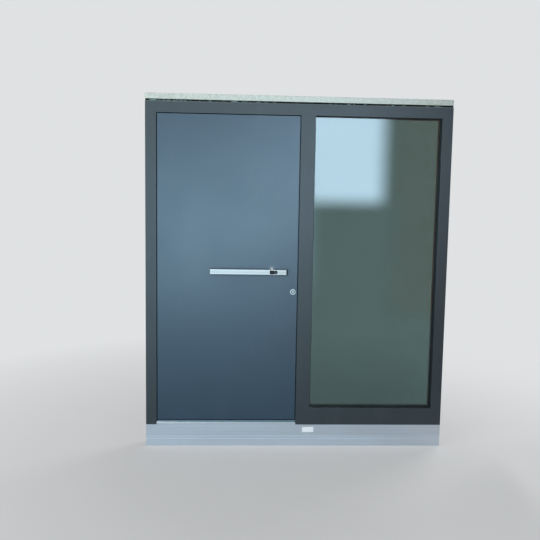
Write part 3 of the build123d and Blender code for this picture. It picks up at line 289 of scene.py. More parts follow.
@dataclass(frozen=True)
class PowderCoat(Finish):
    """Matt powder coat with a fine grain, soft clouds and a little site dust."""

    base: Colour
    sheen: float = 0.46
    sheen_swing: float = 0.04
    gloss: float = 0.5
    clouds: Pattern = Pattern(1.7, 3.0, 0.6)
    grain: Pattern = Pattern(1700.0, 2.0, 0.6)
    glints: Veil = Veil(0.55, 0.8, 0.25)
    smears: Pattern = Pattern(5.0, 5.0, 0.7, (1.0, 1.0, 0.35))
    dust: Veil = Veil(0.56, 0.8, 0.05)
    dust_colour: Colour = (0.42, 0.42, 0.40)
    mitre: Span | None = None  # an outer corner's X and Z
    mitre_line: Span = (0.0004, 0.0007)
    mitre_end: Span = (0.12, 0.13)

    def draw(self, g: Shading) -> None:
        """Draw clouds, grain and dust, and the mitres of a bar.

        Args:
            g: Its nodes.
        """
        clouds = g.span(g.noise(self.clouds))
        colour = g.shades(clouds, self.base, 0.95, 1.06)
        grain = g.noise(self.grain)
        colour = g.veil(colour, grain, self.glints, lighter(self.base, 1.3))
        colour = g.veil(colour, g.noise(self.smears), self.dust, self.dust_colour)
        if self.mitre:
            colour = g.blend(self.mitres(g), colour, lighter(self.base, 0.2))
        g.colour(colour)
        g.set(specular_ior_level=self.gloss)
        wear = g.span(clouds, 0.0, 1.0, self.sheen - self.sheen_swing, self.sheen + self.sheen_swing)
        g.roughness(g.sum(wear, g.span(grain, to_high=0.06)))
        g.bump(grain, 4e-5, 0.5)

    def mitres(self, g: Shading) -> Socket:
        """Draw the hairlines of the two upper mitres.

        Args:
            g: Its nodes.

        Returns:
            1 on the line, else 0.
        """
        side, top = self.mitre
        inward = g.sum(side, g.sum(g.axis(Axis.X), 0.0, "ABSOLUTE"), "SUBTRACT")
        below = g.sum(top, g.axis(Axis.Z), "SUBTRACT")
        away = g.sum(g.sum(inward, below, "SUBTRACT"), 0.0, "ABSOLUTE")
        line = g.span(away, *self.mitre_line, 1.0, 0.0)
        return g.sum(line, g.span(below, *self.mitre_end, 1.0, 0.0), "MULTIPLY")


@dataclass(frozen=True)
class BrushedSteel(Finish):
    """Stainless steel brushed one way, with a painted darker reflection band along a height."""

    grain: Grain
    base: Colour = (0.50, 0.50, 0.495)
    polish: Span = (0.26, 0.42)
    haze: Veil = Veil(0.35, 0.75, 0.25)
    dark_reflection_height: float = 0.0
    dark_reflection_band: Span = (0.004, 0.013)
    dark_reflection_share: float = 0.55

    def draw(self, g: Shading) -> None:
        """Draw the brush lines, the haze and the painted dark reflection band.

        Args:
            g: Its nodes.
        """
        lines = g.noise(Pattern(1.0, 6.0, 0.75, self.grain.value))
        broad = g.noise(Pattern(0.12, 2.0, 0.5, self.grain.value))
        colour = g.shades(g.span(lines), self.base, 0.86, 1.08)
        # Painted reflection: a darker band round a height, standing in for the dark horizon mirrored
        # along the bar's middle.
        if self.dark_reflection_height:
            above = g.sum(g.axis(Axis.Z), self.dark_reflection_height, "SUBTRACT")
            away = g.sum(above, 0.0, "ABSOLUTE")
            dark_reflection = g.span(away, *self.dark_reflection_band, self.dark_reflection_share, 0.0)
            colour = g.blend(dark_reflection, colour, lighter(self.base, 0.6))
        g.colour(g.veil(colour, broad, self.haze, lighter(self.base, 0.8)))
        g.set(metallic=1.0)
        g.roughness(g.span(lines, 0.25, 0.75, *self.polish))
        g.bump(lines, 3e-5, 0.35)


@dataclass(frozen=True)
class DrawnAluminium(Finish):
    """Silver anodised aluminium with faint drawing lines and smudges."""

    grain: Grain
    base: Colour = (0.70, 0.745, 0.81)
    metal: float = 0.75
    polish: float = 0.34
    smudges: Pattern = Pattern(7.0, 5.0, 0.65, (0.4, 1.0, 1.0))
    smudge_share: float = 0.35
    pale_band_top: float = 0.0
    pale_band_edge: Pattern = Pattern(14.0, 4.0, 0.7)
    pale_band_wander: float = 0.004
    pale_band_soft: float = 0.001
    pale_band_share: float = 0.35

    def draw(self, g: Shading) -> None:
        """Draw lines and smudges, and a lighter band up to its height.

        Args:
            g: Its nodes.
        """
        lines = g.noise(Pattern(0.6, 5.0, 0.7, self.grain.value))
        smudges = g.span(g.noise(self.smudges), 0.45, 0.75, to_high=self.smudge_share)
        colour = g.shades(g.span(lines), self.base, 0.94, 1.07)
        colour = g.blend(smudges, colour, lighter(self.base, 0.86))
        # Lighter below a wavy height.
        if self.pale_band_top:
            wander = g.span(g.noise(self.pale_band_edge), to_low=-self.pale_band_wander, to_high=self.pale_band_wander)
            edge = g.sum(g.axis(Axis.Z), wander)
            low, high = self.pale_band_top - self.pale_band_soft, self.pale_band_top + self.pale_band_soft
            colour = g.veil(colour, edge, Veil(high, low, self.pale_band_share), lighter(self.base, 1.15))
        g.colour(colour)
        g.set(metallic=self.metal)
        wear = g.span(smudges, 0.0, self.smudge_share, 0.0, 0.1)
        g.roughness(g.sum(g.span(lines, to_low=self.polish, to_high=self.polish + 0.08), wear))
        g.bump(lines, 4e-5, 0.4)


@dataclass(frozen=True)
class SillAluminium(Finish):
    """Bare aluminium of the threshold: drawn on its front, trodden smooth on top, with its front painted
    bright and its top painted in shade.
    """

    front_y: float
    # The bright front is painted light and the dark top is painted shade: lit and shaded copies of one
    # aluminium.
    front: Colour = (0.82, 0.91, 0.98)
    top: Colour = (0.19, 0.215, 0.23)
    edge: Span = (0.0012, 0.002)
    scuffs: Pattern = Pattern(30.0, 5.0, 0.7, (0.5, 1.0, 1.0))
    dirt: Colour = (0.25, 0.24, 0.22)

    def draw(self, g: Shading) -> None:
        """Draw the lines, the painted shade on the top and its scuffs.

        Args:
            g: Its nodes.
        """
        lines = g.noise(Pattern(0.6, 5.0, 0.7, Grain.ALONG_X.value))
        scuffs = g.span(g.noise(self.scuffs), 0.5, 0.75)
        shaded_top = g.span(g.axis(Axis.Y), *(self.front_y + step for step in self.edge))
        # Painted shade: the top is drawn dark and the front bright.
        colour = g.blend(shaded_top, self.front, self.top)
        colour = g.blend(g.span(lines, to_high=0.2), colour, lighter(self.top, 0.8))
        g.colour(g.blend(g.sum(scuffs, 0.12, "MULTIPLY"), colour, self.dirt))
        g.set(metallic=0.85)
        g.roughness(g.sum(g.span(shaded_top, 0.0, 1.0, 0.32, 0.12), g.sum(scuffs, 0.08, "MULTIPLY")))
        g.bump(lines, 2e-5, 0.3)


@dataclass(frozen=True)
class GalvanisedSheet(Finish):
    """Zinc-coated sheet with pale spangles and specks."""

    base: Colour = (0.58, 0.57, 0.49)
    flakes: float = 70.0
    wobble: Pattern = Pattern(45.0, 3.0, 0.6)
    specks: Pattern = Pattern(130.0, 4.0, 0.75)
    speck_veil: Veil = Veil(0.52, 0.68, 0.75)
    bloom: Veil = Veil(0.5, 0.75, 0.4)
    bloom_colour: Colour = (0.64, 0.68, 0.65)

    def draw(self, g: Shading) -> None:
        """Draw the spangles, specks and bloom.

        Args:
            g: Its nodes.
        """
        wobble = g.noise(self.wobble)
        tone = g.span(g.cells(self.flakes, "Color"), 0.1, 0.9)
        colour = g.shades(tone, self.base, 0.86, 1.12)
        colour = g.veil(colour, g.noise(self.specks), self.speck_veil, lighter(self.base, 0.5))
        g.colour(g.veil(colour, wobble, self.bloom, self.bloom_colour))
        g.set(metallic=0.45)
        g.roughness(g.span(tone, 0.0, 1.0, 0.42, 0.6))
        g.bump(wobble, 0.0003, 0.3)


@dataclass(frozen=True)
class SoftFoam(Finish):
    """Open foam of the tape, its filler and the leaf's core."""

    base: Colour
    pores: float = 900.0
    patches: Pattern = Pattern(60.0, 4.0, 0.6)
    patch_veil: Veil = Veil(0.4, 0.7, 0.4)

    def draw(self, g: Shading) -> None:
        """Draw the pores and patches.

        Args:
            g: Its nodes.
        """
        pores = g.cells(self.pores, "Distance")
        patches = g.noise(self.patches)
        colour = g.shades(g.span(pores, 0.0, 0.6), self.base, 0.6, 1.15)
        g.colour(g.veil(colour, patches, self.patch_veil, lighter(self.base, 0.7)))
        g.set(roughness=0.95, specular_ior_level=0.2)
        g.bump(pores, 0.0006, 0.6)


@dataclass(frozen=True)
class SoftRubber(Finish):
    """Black sealing rubber with a faint bloom."""

    base: Colour = (0.018, 0.019, 0.020)
    bloom: Pattern = Pattern(25.0, 4.0, 0.7)
    bloom_share: float = 0.25
    bloom_colour: Colour = (0.07, 0.07, 0.07)
    skin: Pattern = Pattern(1500.0)

    def draw(self, g: Shading) -> None:
        """Draw the bloom and the skin.

        Args:
            g: Its nodes.
        """
        bloom = g.span(g.noise(self.bloom), 0.5, 0.8, to_high=self.bloom_share)
        g.colour(g.blend(bloom, self.base, self.bloom_colour))
        g.set(specular_ior_level=0.35)
        g.roughness(g.span(bloom, 0.0, self.bloom_share, 0.62, 0.8))
        g.bump(g.noise(self.skin), 3e-5, 0.3)


@dataclass(frozen=True)
class MouldedPlastic(Finish):
    """Moulded plastic with a fine spark-eroded grain."""

    base: Colour
    shine: float = 0.42
    gloss: float = 0.3
    grain: Pattern = Pattern(2600.0)
    wear: Pattern = Pattern(12.0, 3.0)

    def draw(self, g: Shading) -> None:
        """Draw the grain and its uneven shine.

        Args:
            g: Its nodes.
        """
        grain = g.noise(self.grain)
        g.colour(g.shades(g.span(grain, 0.4, 0.7), self.base, 1.0, 1.5))
        g.set(specular_ior_level=self.gloss)
        g.roughness(g.span(g.noise(self.wear), to_low=self.shine, to_high=self.shine + 0.12))
        g.bump(grain, 2e-5, 0.4)


@dataclass(frozen=True)
class PaneGlass(Finish):
    """Float glass with its tint and faint streaks of dust."""

    tint: Colour
    index: float = 1.5
    film: Pattern = Pattern(3.0, 5.0, 0.65, (1.0, 1.0, 0.4))

    def draw(self, g: Shading) -> None:
        """Draw the tint and the film of dust.

        Args:
            g: Its nodes.
        """
        film = g.span(g.noise(self.film), 0.45, 0.8)
        g.colour(g.shades(film, self.tint, 1.0, 0.96))
        g.set(transmission_weight=1.0, ior=self.index)
        g.roughness(g.span(film, 0.0, 1.0, 0.0, 0.015))


@dataclass(frozen=True)
class ReaderGlass(Finish):
    """Black polished window of the finger reader."""

    base: Colour = (0.002, 0.002, 0.003)
    smears: Pattern = Pattern(160.0, 4.0, 0.7)
    smear_veil: Veil = Veil(0.5, 0.8, 0.3)
    smear_colour: Colour = (0.01, 0.01, 0.012)

    def draw(self, g: Shading) -> None:
        """Draw the finger smears.

        Args:
            g: Its nodes.
        """
        smears = g.noise(self.smears)
        g.colour(g.veil(self.base, smears, self.smear_veil, self.smear_colour))
        g.set(specular_ior_level=0.12)
        g.roughness(g.span(smears, 0.3, 0.8, 0.10, 0.25))


@dataclass(frozen=True)
class LitLens(Finish):
    """Frosted lens with a soft warm light behind it."""

    base: Colour = (0.95, 0.90, 0.78)
    light: Colour = (1.0, 0.93, 0.80)
    level: float = 0.5
    frost: Pattern = Pattern(900.0, 3.0, 0.6)

    def draw(self, g: Shading) -> None:
        """Draw the frost and light it.

        Args:
            g: Its nodes.
        """
        frost = g.noise(self.frost)
        g.colour(g.shades(frost, self.base, 1.0, 0.9))
        g.set(roughness=0.4, emission_strength=self.level, emission_color=self.light)
        g.bump(frost, 5e-5, 0.4)


@dataclass(frozen=True)
class TurnedMetal(Finish):
    """Metal turned on a lathe, with fine rings round an axis along Y."""

    base: Colour
    centre: Place
    rings: float = 900.0
    scuffs: Pattern = Pattern(220.0, 4.0, 0.7)
    scuff_veil: Veil = Veil(0.5, 0.8, 0.3)

    def draw(self, g: Shading) -> None:
        """Draw the rings and scuffs.

        Args:
            g: Its nodes.
        """
        radius = g.length(g.mapped((1.0, 0.0, 1.0), self.centre))
        phase = g.sum(radius, self.rings * math.tau, "MULTIPLY")
        wave = g.span(g.sum(phase, 0.0, "SINE"), -1.0, 1.0)
        scuffs = g.noise(self.scuffs)
        colour = g.shades(wave, self.base, 0.93, 1.06)
        g.colour(g.veil(colour, scuffs, self.scuff_veil, lighter(self.base, 0.8)))
        g.set(metallic=1.0)
        g.roughness(g.span(scuffs, to_low=0.24, to_high=0.36))
        g.bump(wave, 1e-5, 0.3)


@dataclass(frozen=True)
class PlatedSteel(Finish):
    """Zinc-plated steel of bolts, screws and lock cases."""

    base: Colour = (0.58, 0.59, 0.60)
    haze: Pattern = Pattern(40.0, 4.0, 0.65)
    tarnish: Veil = Veil(0.4, 0.7, 0.6)
    tarnish_colour: Colour = (0.52, 0.50, 0.42)
    scuffs: Pattern = Pattern(500.0, 3.0, 0.7)
    scuff_veil: Veil = Veil(0.55, 0.75, 0.4)

    def draw(self, g: Shading) -> None:
        """Draw the tarnish and scuffs.

        Args:
            g: Its nodes.
        """
        haze = g.noise(self.haze)
        scuffs = g.noise(self.scuffs)
        colour = g.veil(self.base, haze, self.tarnish, self.tarnish_colour)
        g.colour(g.veil(colour, scuffs, self.scuff_veil, lighter(self.base, 0.7)))
        g.set(metallic=0.9)
        g.roughness(g.span(haze, to_low=0.3, to_high=0.48))
        g.bump(scuffs, 2e-5, 0.4)


@dataclass(frozen=True)
class BlankPaper(Finish):
    """Blank white film label, a little dirty, with a faint painted glow."""

    base: Colour = (0.93, 0.94, 0.95)
    dirt: Pattern = Pattern(90.0, 5.0, 0.7)
    dirt_veil: Veil = Veil(0.55, 0.85, 0.5)
    dirt_colour: Colour = (0.62, 0.62, 0.60)
    shine: Colour = (0.93, 0.95, 1.0)
    creases: Pattern = Pattern(70.0, 3.0, 0.6)

    def draw(self, g: Shading) -> None:
        """Draw the dirt and creases, and the painted glow.

        Args:
            g: Its nodes.
        """
        g.colour(g.veil(self.base, g.noise(self.dirt), self.dirt_veil, self.dirt_colour))
        # The emission is painted light that makes the label read brighter than its lighting.
        g.set(roughness=0.45, metallic=0.6, emission_strength=0.22, emission_color=self.shine)
        g.bump(g.noise(self.creases), 0.0004, 0.4)


def dress(finish: Finish, *nodes: str) -> None:
    """Give carried-over pieces their finish.

    Args:
        finish: The finish.
        nodes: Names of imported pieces.
    """
    material = finish.material()
    for node in nodes:
        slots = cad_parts[node].material_slots
        if not slots:
            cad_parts[node].data.materials.append(material)
        for slot in slots:
            slot.material = material
    log.info("dressed %s with %s", ", ".join(nodes), finish.name)


def add_object(name: str, data: bpy.types.ID) -> bpy.types.Object:
    """Make an object and put it in the scene.

    Args:
        name: Its name.
        data: Its mesh, lamp or camera.

    Returns:
        The new object.
    """
    made = bpy.data.objects.new(name, data)
    bpy.context.scene.collection.objects.link(made)
    return made


def add_mesh(name: str, mesh: Mesh, material: bpy.types.Material) -> bpy.types.Object:
    """Make an object of a finished shape.

    Args:
        name: Its name.
        mesh: Its shape, which is freed.
        material: Its material.

    Returns:
        The new object.
    """
    data = bpy.data.meshes.new(name)
    mesh.to_mesh(data)
    mesh.free()
    data.materials.append(material)
    return add_object(name, data)


def add_piece(name: str, mesh: Mesh, finish: Finish, body: Body) -> bpy.types.Object:
    """Make a piece of the door and let it ride on a body.

    Args:
        name: Its name.
        mesh: Its shape, which is freed.
        finish: The finish.
        body: What it moves with.

    Returns:
        The new piece.
    """
    piece = add_mesh(name, mesh, finish.material())
    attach(piece, body.value)
    log.info("built %s: %d faces", name, len(piece.data.polygons))
    return piece


def turn(mesh: Mesh, degrees: float, axis: Axis) -> None:
    """Turn a shape about the origin."""
    matrix = Matrix.Rotation(math.radians(degrees), 3, axis.value)
    bmesh.ops.rotate(mesh, matrix=matrix, verts=mesh.verts)


def move(mesh: Mesh, way: Place | Vector) -> None:
    """Move a whole shape."""
    bmesh.ops.translate(mesh, vec=way, verts=mesh.verts)


def thicken(sheet: Mesh, thickness: float) -> None:
    """Give a sheet its thickness, with its corners in the same order each run.

    Args:
        sheet: The open sheet.
        thickness: How thick, less than 0 for the other side.
    """
    geometry = sheet.verts[:] + sheet.edges[:] + sheet.faces[:]
    bmesh.ops.solidify(sheet, geom=geometry, thickness=thickness)
    bmesh.ops.recalc_face_normals(sheet, faces=sheet.faces)
    sheet.verts.sort(key=lambda v: v.co.dot(SORT_BY))
    sheet.faces.sort(key=lambda f: f.calc_center_median().dot(SORT_BY))


def add_grid(mesh: Mesh, columns: int, rows: int, width: float, height: float) -> None:
    """Start a shape with a flat grid."""
    bmesh.ops.create_grid(mesh, x_segments=columns, y_segments=rows, size=0.5)
    bmesh.ops.scale(mesh, vec=(width, height, 1.0), verts=mesh.verts)


def middle(box: tuple[Vector, Vector]) -> Vector:
    """Find the middle of a box."""
    return (box[0] + box[1]) / 2


def ripple(x: float, y: float, z: float) -> float:
    """Smooth noise from -1 to 1."""
    return noise.noise(Vector((x, y, z)))


@dataclass
class PhotoCamera:
    """The camera at the photograph's place."""

    position: Place = (-0.345, -3.937, 1.629)
    yaw: float = 2.181
    pitch: float = -4.975
    roll: float = 0.915
    lens: float = 36.667
    nearest: float = 0.05

    def build(self) -> None:
        """Make the camera and look through it."""
        data = bpy.data.cameras.new("photo_camera")
        data.lens = self.lens
        data.clip_start = self.nearest
        camera = add_object("photo_camera", data)
        turned = (
            Matrix.Rotation(-math.radians(self.yaw), 4, "Z")
            @ Matrix.Rotation(math.radians(90 + self.pitch), 4, "X")
            @ Matrix.Rotation(math.radians(self.roll), 4, "Z")
        )
        camera.matrix_world = Matrix.Translation(self.position) @ turned
        bpy.context.scene.camera = camera


@dataclass
class SoftBox:
    """One soft studio lamp."""

    name: str
    position: Place
    target: Place
    size: Span
    watts: float
    colour: Colour = (1.0, 1.0, 1.0)

    def build(self) -> None:
        """Hang the lamp, unseen by the camera itself."""
        data = bpy.data.lights.new(self.name, "AREA")
        data.shape = "RECTANGLE"
        data.size, data.size_y = self.size
        data.energy = self.watts
        data.color = self.colour
        lamp = add_object(self.name, data)
        aim = Vector(self.target) - Vector(self.position)
        lamp.rotation_mode = "QUATERNION"
        lamp.rotation_quaternion = aim.to_track_quat("-Z", "Y")
        lamp.location = self.position
        lamp.visible_camera = False
        lamp.visible_transmission = False


@dataclass
class GlowPanel:
    """An upright diffuser, along X or Y, that fades out at its edges."""

    name: str
    across: Span
    up: Span
    fades: Span
    level: float
    colour: Colour = (0.54, 0.82, 1.0)
    distance: float = -4.35
    lights: bool = True
    run: Axis = Axis.X

    def build(self) -> None:
        """Stand the panel up, unseen by the camera."""
        (left, right), (low, high) = self.across, self.up
        mesh = bmesh.new()
        add_grid(mesh, 1, 1, right - left, high - low)
        turn(mesh, -90.0, Axis.X)
        centre = Vector(((left + right) / 2, self.distance, (low + high) / 2))
        if self.run is Axis.Y:
            turn(mesh, 90.0, Axis.Z)
            centre.x, centre.y = centre.y, centre.x
        move(mesh, centre)
        panel = add_mesh(self.name, mesh, self.material())
        panel.visible_camera = False
        panel.visible_transmission = False
        panel.visible_diffuse = self.lights

    def material(self) -> bpy.types.Material:
        """Make a glow that fades out towards the panel's four edges.

        Returns:
            The material.
        """
        g = Shading(self.name)
        share = 1.0
        for axis, ends, fade in zip((self.run, Axis.Z), (self.across, self.up), self.fades):
            for edge, inner in zip(ends, (fade, -fade)):
                faded = g.span(g.axis(axis), edge, edge + inner, ease="SMOOTHSTEP")
                share = g.sum(share, faded, "MULTIPLY")
        glow = g.glow(self.colour, self.level)
        g.show(share, g.add("BsdfTransparent").outputs[0], glow)
        return g.material


@dataclass
class Studio:
    """Plain pale floor, pale surroundings and soft lamps."""

    backdrop: Colour = (0.74, 0.755, 0.77)
    mirrored: Colour = (0.53, 0.55, 0.56)
    light: Colour = (0.93, 0.97, 1.0)
    light_level: float = 0.38
    floor_colour: Colour = (0.72, 0.72, 0.715)
    floor_bounce: Colour = (0.22, 0.22, 0.22)
    floor_mirrored: float = 0.75
    floor_mottle: Pattern = Pattern(3.0, 5.0, 0.6)
    floor_radius: float = 14.0
    floor_sides: int = 96
    fade: Span = (1.2, 4.1)
    least_haze: float = 0.45
    lamps: tuple[SoftBox, ...] = (
        SoftBox("top_lamp", (-1.8, -1.8, 4.2), (-0.7, 0.0, 1.9), (2.0, 1.2), 24.0, (1.0, 0.97, 0.92)),
        SoftBox("warm_fill", (3.4, -2.4, 1.5), (1.0, 0.0, 1.3), (1.8, 2.2), 34.0, (1.0, 0.74, 0.54)),
        SoftBox("back_lamp", (3.6, 3.2, 3.0), (0.0, 0.0, 1.3), (2.4, 2.0), 115.0),
    )
    panels: tuple[GlowPanel, ...] = (
        GlowPanel("leaf_window", (-3.5, 0.76), (0.25, 2.85), (0.6, 0.8), 5.6),
        GlowPanel(
            "glass_window", (0.05, 1.86), (1.78, 3.55), (0.40, 0.35), 10.5,
            colour=(0.60, 0.82, 1.0), distance=-4.45, lights=False,
        ),
        GlowPanel(
            "side_flag", (1.65, 5.6), (0.0, 4.2), (0.5, 0.4), 0.58,
            colour=(1.0, 0.70, 0.54), distance=-4.55, lights=False,
        ),
        GlowPanel(
            "reveal_flag", (-1.45, -0.05), (0.05, 3.5), (0.12, 0.3), 0.14,
            colour=(1.0, 0.70, 0.48), distance=1.5, lights=False, run=Axis.Y,
        ),
    )
    spared_by: tuple[str, ...] = ("warm_fill", "leaf_window")

    def build(self) -> None:
        """Make everything that isn't part of the object."""
        bpy.context.scene.view_settings.view_transform = "Standard"
        self.build_world()
        self.build_floor()
        for light in self.lamps + self.panels:
            light.build()
        self.spare_floor()

    def spare_floor(self) -> None:
        """Keep the tinted lights off the floor, so that it stays a plain grey."""
        spared = bpy.data.collections.new("spared_floor")
        spared.objects.link(bpy.data.objects["floor"])
        spared.collection_objects[0].light_linking.link_state = "EXCLUDE"
        for name in self.spared_by:
            bpy.data.objects[name].light_linking.receiver_collection = spared

    def build_world(self) -> None:
        """Set pale surroundings where they are seen, and plain light elsewhere."""
        world = bpy.data.worlds.new("studio")
        bpy.context.scene.world = world
        world.use_nodes = True
        g = Graph(world.node_tree)
        path = g.add("LightPath").outputs
        shown = g.add("Background", {"Color": self.light, "Strength": self.light_level}).outputs[0]
        for ray in ("Glossy", "Transmission", "Camera"):
            colour = self.mirrored if ray == "Glossy" else self.backdrop
            pale = g.add("Background", {"Color": colour}).outputs[0]
            shown = g.add("MixShader", {0: path[f"Is {ray} Ray"], 1: shown, 2: pale}).outputs[0]
        g.add("OutputWorld", {"Surface": shown})

    def build_floor(self) -> None:
        """Lay a round pale floor."""
        disc = bmesh.new()
        bmesh.ops.create_circle(disc, cap_ends=True, segments=self.floor_sides, radius=self.floor_radius)
        floor = add_mesh("floor", disc, self.floor_material())

    def floor_material(self) -> bpy.types.Material:
        """Let the floor fade into the backdrop where it is seen, and send back little light.

        Returns:
            The material.
        """
        g = Shading("pale_floor")
        path = g.add("LightPath").outputs
        gloss, through = path["Is Glossy Ray"], path["Is Transmission Ray"]
        seen = g.sum(g.sum(path["Is Camera Ray"], gloss, "MAXIMUM"), through, "MAXIMUM")
        pale = g.shades(g.span(g.noise(self.floor_mottle)), self.floor_colour, 0.97, 1.0)
        in_gloss = g.sum(gloss, through, "GREATER_THAN")
        dim = g.blend(in_gloss, pale, lighter(self.floor_colour, self.floor_mirrored))
        g.colour(g.blend(seen, self.floor_bounce, dim))
        g.set(roughness=0.85, specular_ior_level=0.1)
        fade = g.span(g.length(g.place), *self.fade, self.least_haze, 1.0)
        haze = g.glow(g.blend(in_gloss, self.backdrop, self.mirrored))
        g.show(g.sum(fade, seen, "MULTIPLY"), g.shader.outputs[0], haze)
        return g.material


# Its blue cast is partly painted reflection of bluish light on a near-neutral anthracite coat.
FRAME_COAT = PowderCoat("frame_coat", (0.020, 0.030, 0.037), gloss=0.72)


@dataclass
class FrameBars:
    """The frame's outer and inner shells, their thermal breaks and the seal on the lip."""

    bars: tuple[str, ...] = ("jamb_left", "jamb_right", "head", "mullion", "bottom_rail")

    def build(self) -> None:
        """Dress the bars."""
        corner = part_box("head_outer")[1]
        coat = replace(FRAME_COAT, name="frame_bar_coat", mitre=(corner.x, corner.z))
        dress(coat, *(f"{bar}_{shell}" for shell in ("outer", "inner") for bar in self.bars))
        dress(MouldedPlastic("polyamide", (0.022, 0.022, 0.024)), "frame_thermal_breaks")
        dress(SoftRubber("lip_seal"), "frame_seal")


@dataclass
class Sticker:
    """Small blank film label on the base, torn along its left and lower edge."""

    across: Span = (0.054, 0.139)
    up: Span = (0.101, 0.141)
    gap: float = 0.00002
    thickness: float = 0.00025
    columns: int = 34
    rows: int = 17
    tear: float = 0.0050
    left_reach: float = 0.012
    low_reach: float = 0.010
    tilt: float = 2.2

    def build(self) -> None:
        """Lay a grid on the base's front and tear its edges."""
        (left, right), (low, high) = self.across, self.up
        width, height = right - left, high - low
        sheet = bmesh.new()
        add_grid(sheet, self.columns, self.rows, width, height)
        turn(sheet, 90.0, Axis.X)
        for v in sheet.verts:
            from_left = max(0.0, 1 - (v.co.x + width / 2) / self.left_reach)
            from_low = max(0.0, 1 - (v.co.z + height / 2) / self.low_reach)
            v.co.x += from_left * self.tear * (ripple(0, 0, v.co.z * 260) + 0.5)
            v.co.z += from_low * self.tear * (ripple(v.co.x * 180, 3, 0) + 0.4)
        turn(sheet, -self.tilt, Axis.Y)
        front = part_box("base_profile")[0].y + self.gap
        move(sheet, ((left + right) / 2, front, (low + high) / 2))
        thicken(sheet, -self.thickness)
        add_piece("blank_sticker", sheet, BlankPaper("sticker_film"), Body.FRAME)


@dataclass
class BaseAndThreshold:
    """The base profile under the frame and the threshold under the leaf."""

    pale_band_top: float = 0.0765

    def build(self) -> None:
        """Dress both and put the sticker on."""
        dress(DrawnAluminium("base_aluminium", Grain.ALONG_X, pale_band_top=self.pale_band_top), "base_profile")
        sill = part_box("threshold_outer")[0]
        dress(SillAluminium("threshold_aluminium", sill.y), "threshold_outer", "threshold_inner")
        Sticker().build()


@dataclass
class HeadStrip:
    """The strip on top, and the sealing tape with its foil and filler below it."""

    steps: int = 430
    rows: int = 3
    draw_back: float = 0.003
    swell: float = 0.0035
    crinkle: float = 0.0018
    foil_drop: float = 0.004
    foil_rise: float = 0.003
    foil_short: float = 0.004
    foil_gap: float = 0.0004
    foil_sheet: float = 0.0003
    foil_tear: float = 0.0009
    foil_wave: float = 0.0012
    seed: int = 7
    beads: int = 60
    crowding: float = 1.6
    end_margin: float = 0.03
    edge_margin: float = 0.003
    bead_lengths: Span = (0.004, 0.016)
    bead_depth: float = 0.003
    bead_heights: Span = (0.0014, 0.003)
    bead_lumps: float = 0.25

    def build(self) -> None:
        """Dress the strip and build the tape."""
        dress(GalvanisedSheet("spangled_zinc"), "head_strip")
        self.build_tape()
        self.build_beads()
        self.build_foil()

    def build_tape(self) -> None:
        """Make foam tape whose front swells along its length."""
        low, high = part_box("head_sealing_tape")
        size = high - low
        tape = bmesh.new()
        bmesh.ops.create_cube(tape, size=1.0)
        bmesh.ops.scale(tape, vec=size, verts=tape.verts)
        move(tape, (low + high) / 2)
        for way, cuts in ((0, self.steps), (2, self.rows)):
            long = [e for e in tape.edges if abs(e.verts[0].co[way] - e.verts[1].co[way]) > size[way] / 2]
            bmesh.ops.subdivide_edges(tape, edges=long, cuts=cuts, use_grid_fill=True)
        for v in tape.verts:
            if v.co.y < low.y + SAME_PLANE:
                wave = ripple(v.co.x * 9, 0, v.co.z * 40)
                crinkle = ripple(v.co.x * 70, 5, v.co.z * 90)
                v.co.y += self.draw_back + self.swell * wave + self.crinkle * crinkle
        bmesh.ops.recalc_face_normals(tape, faces=tape.faces)
        piece = add_piece("sealing_tape", tape, SoftFoam("dark_foam", (0.006, 0.008, 0.008)), Body.FRAME)
        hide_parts("head_sealing_tape")

    def build_foil(self) -> None:
        """Hang the tape's grey foil in front of the head's top edge, torn along its lower edge."""
        low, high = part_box("head_outer")
        width, height = high.x - low.x - self.foil_short, self.foil_drop + self.foil_rise
        foil = bmesh.new()
        add_grid(foil, self.steps, 2, width, height)
        turn(foil, 90.0, Axis.X)
        up = high.z + (self.foil_rise - self.foil_drop) / 2
        move(foil, ((low.x + high.x) / 2, low.y - self.foil_gap, up))
        for v in foil.verts:
            torn = ripple(v.co.x * 60, 2, 0) + 0.6 * ripple(v.co.x * 240, 4, 0)
            if v.co.z < high.z - self.foil_drop / 2:
                v.co.z += self.foil_tear * torn
            if v.co.z > high.z + self.foil_rise / 2:
                v.co.z += self.foil_wave * ripple(v.co.x * 45, 9, 0)
        thicken(foil, self.foil_sheet)
        piece = add_piece("tape_foil", foil, SoftFoam("grey_foil", (0.15, 0.165, 0.165)), Body.FRAME)

    def build_beads(self) -> None:
        """Squeeze pale beads of filler out in front of the tape, more of them at the left."""
        low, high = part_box("head_sealing_tape")
        draw = random.Random(self.seed)
        beads = bmesh.new()
        for _ in range(self.beads):
            share = draw.random() ** self.crowding
            place = Vector((
                low.x + self.end_margin + share * (high.x - low.x - 2 * self.end_margin),
                low.y + 0.001 + 0.001 * draw.random(),
                draw.uniform(low.z + self.edge_margin, high.z - self.edge_margin),
            ))
            size = (draw.uniform(*self.bead_lengths), self.bead_depth, draw.uniform(*self.bead_heights))
            made = bmesh.ops.create_icosphere(beads, subdivisions=2, radius=1.0)["verts"]
            for v in made:
                v.co *= 1 + self.bead_lumps * noise.noise(v.co * 2 + place * 90)
            bmesh.ops.scale(beads, vec=size, verts=made)
            bmesh.ops.translate(beads, vec=place, verts=made)
        for v in beads.verts:
            v.co.z = min(max(v.co.z, low.z + 0.0002), high.z - 0.0002)
        piece = add_piece("filler_beads", beads, SoftFoam("pale_filler", (0.30, 0.42, 0.39)), Body.FRAME)


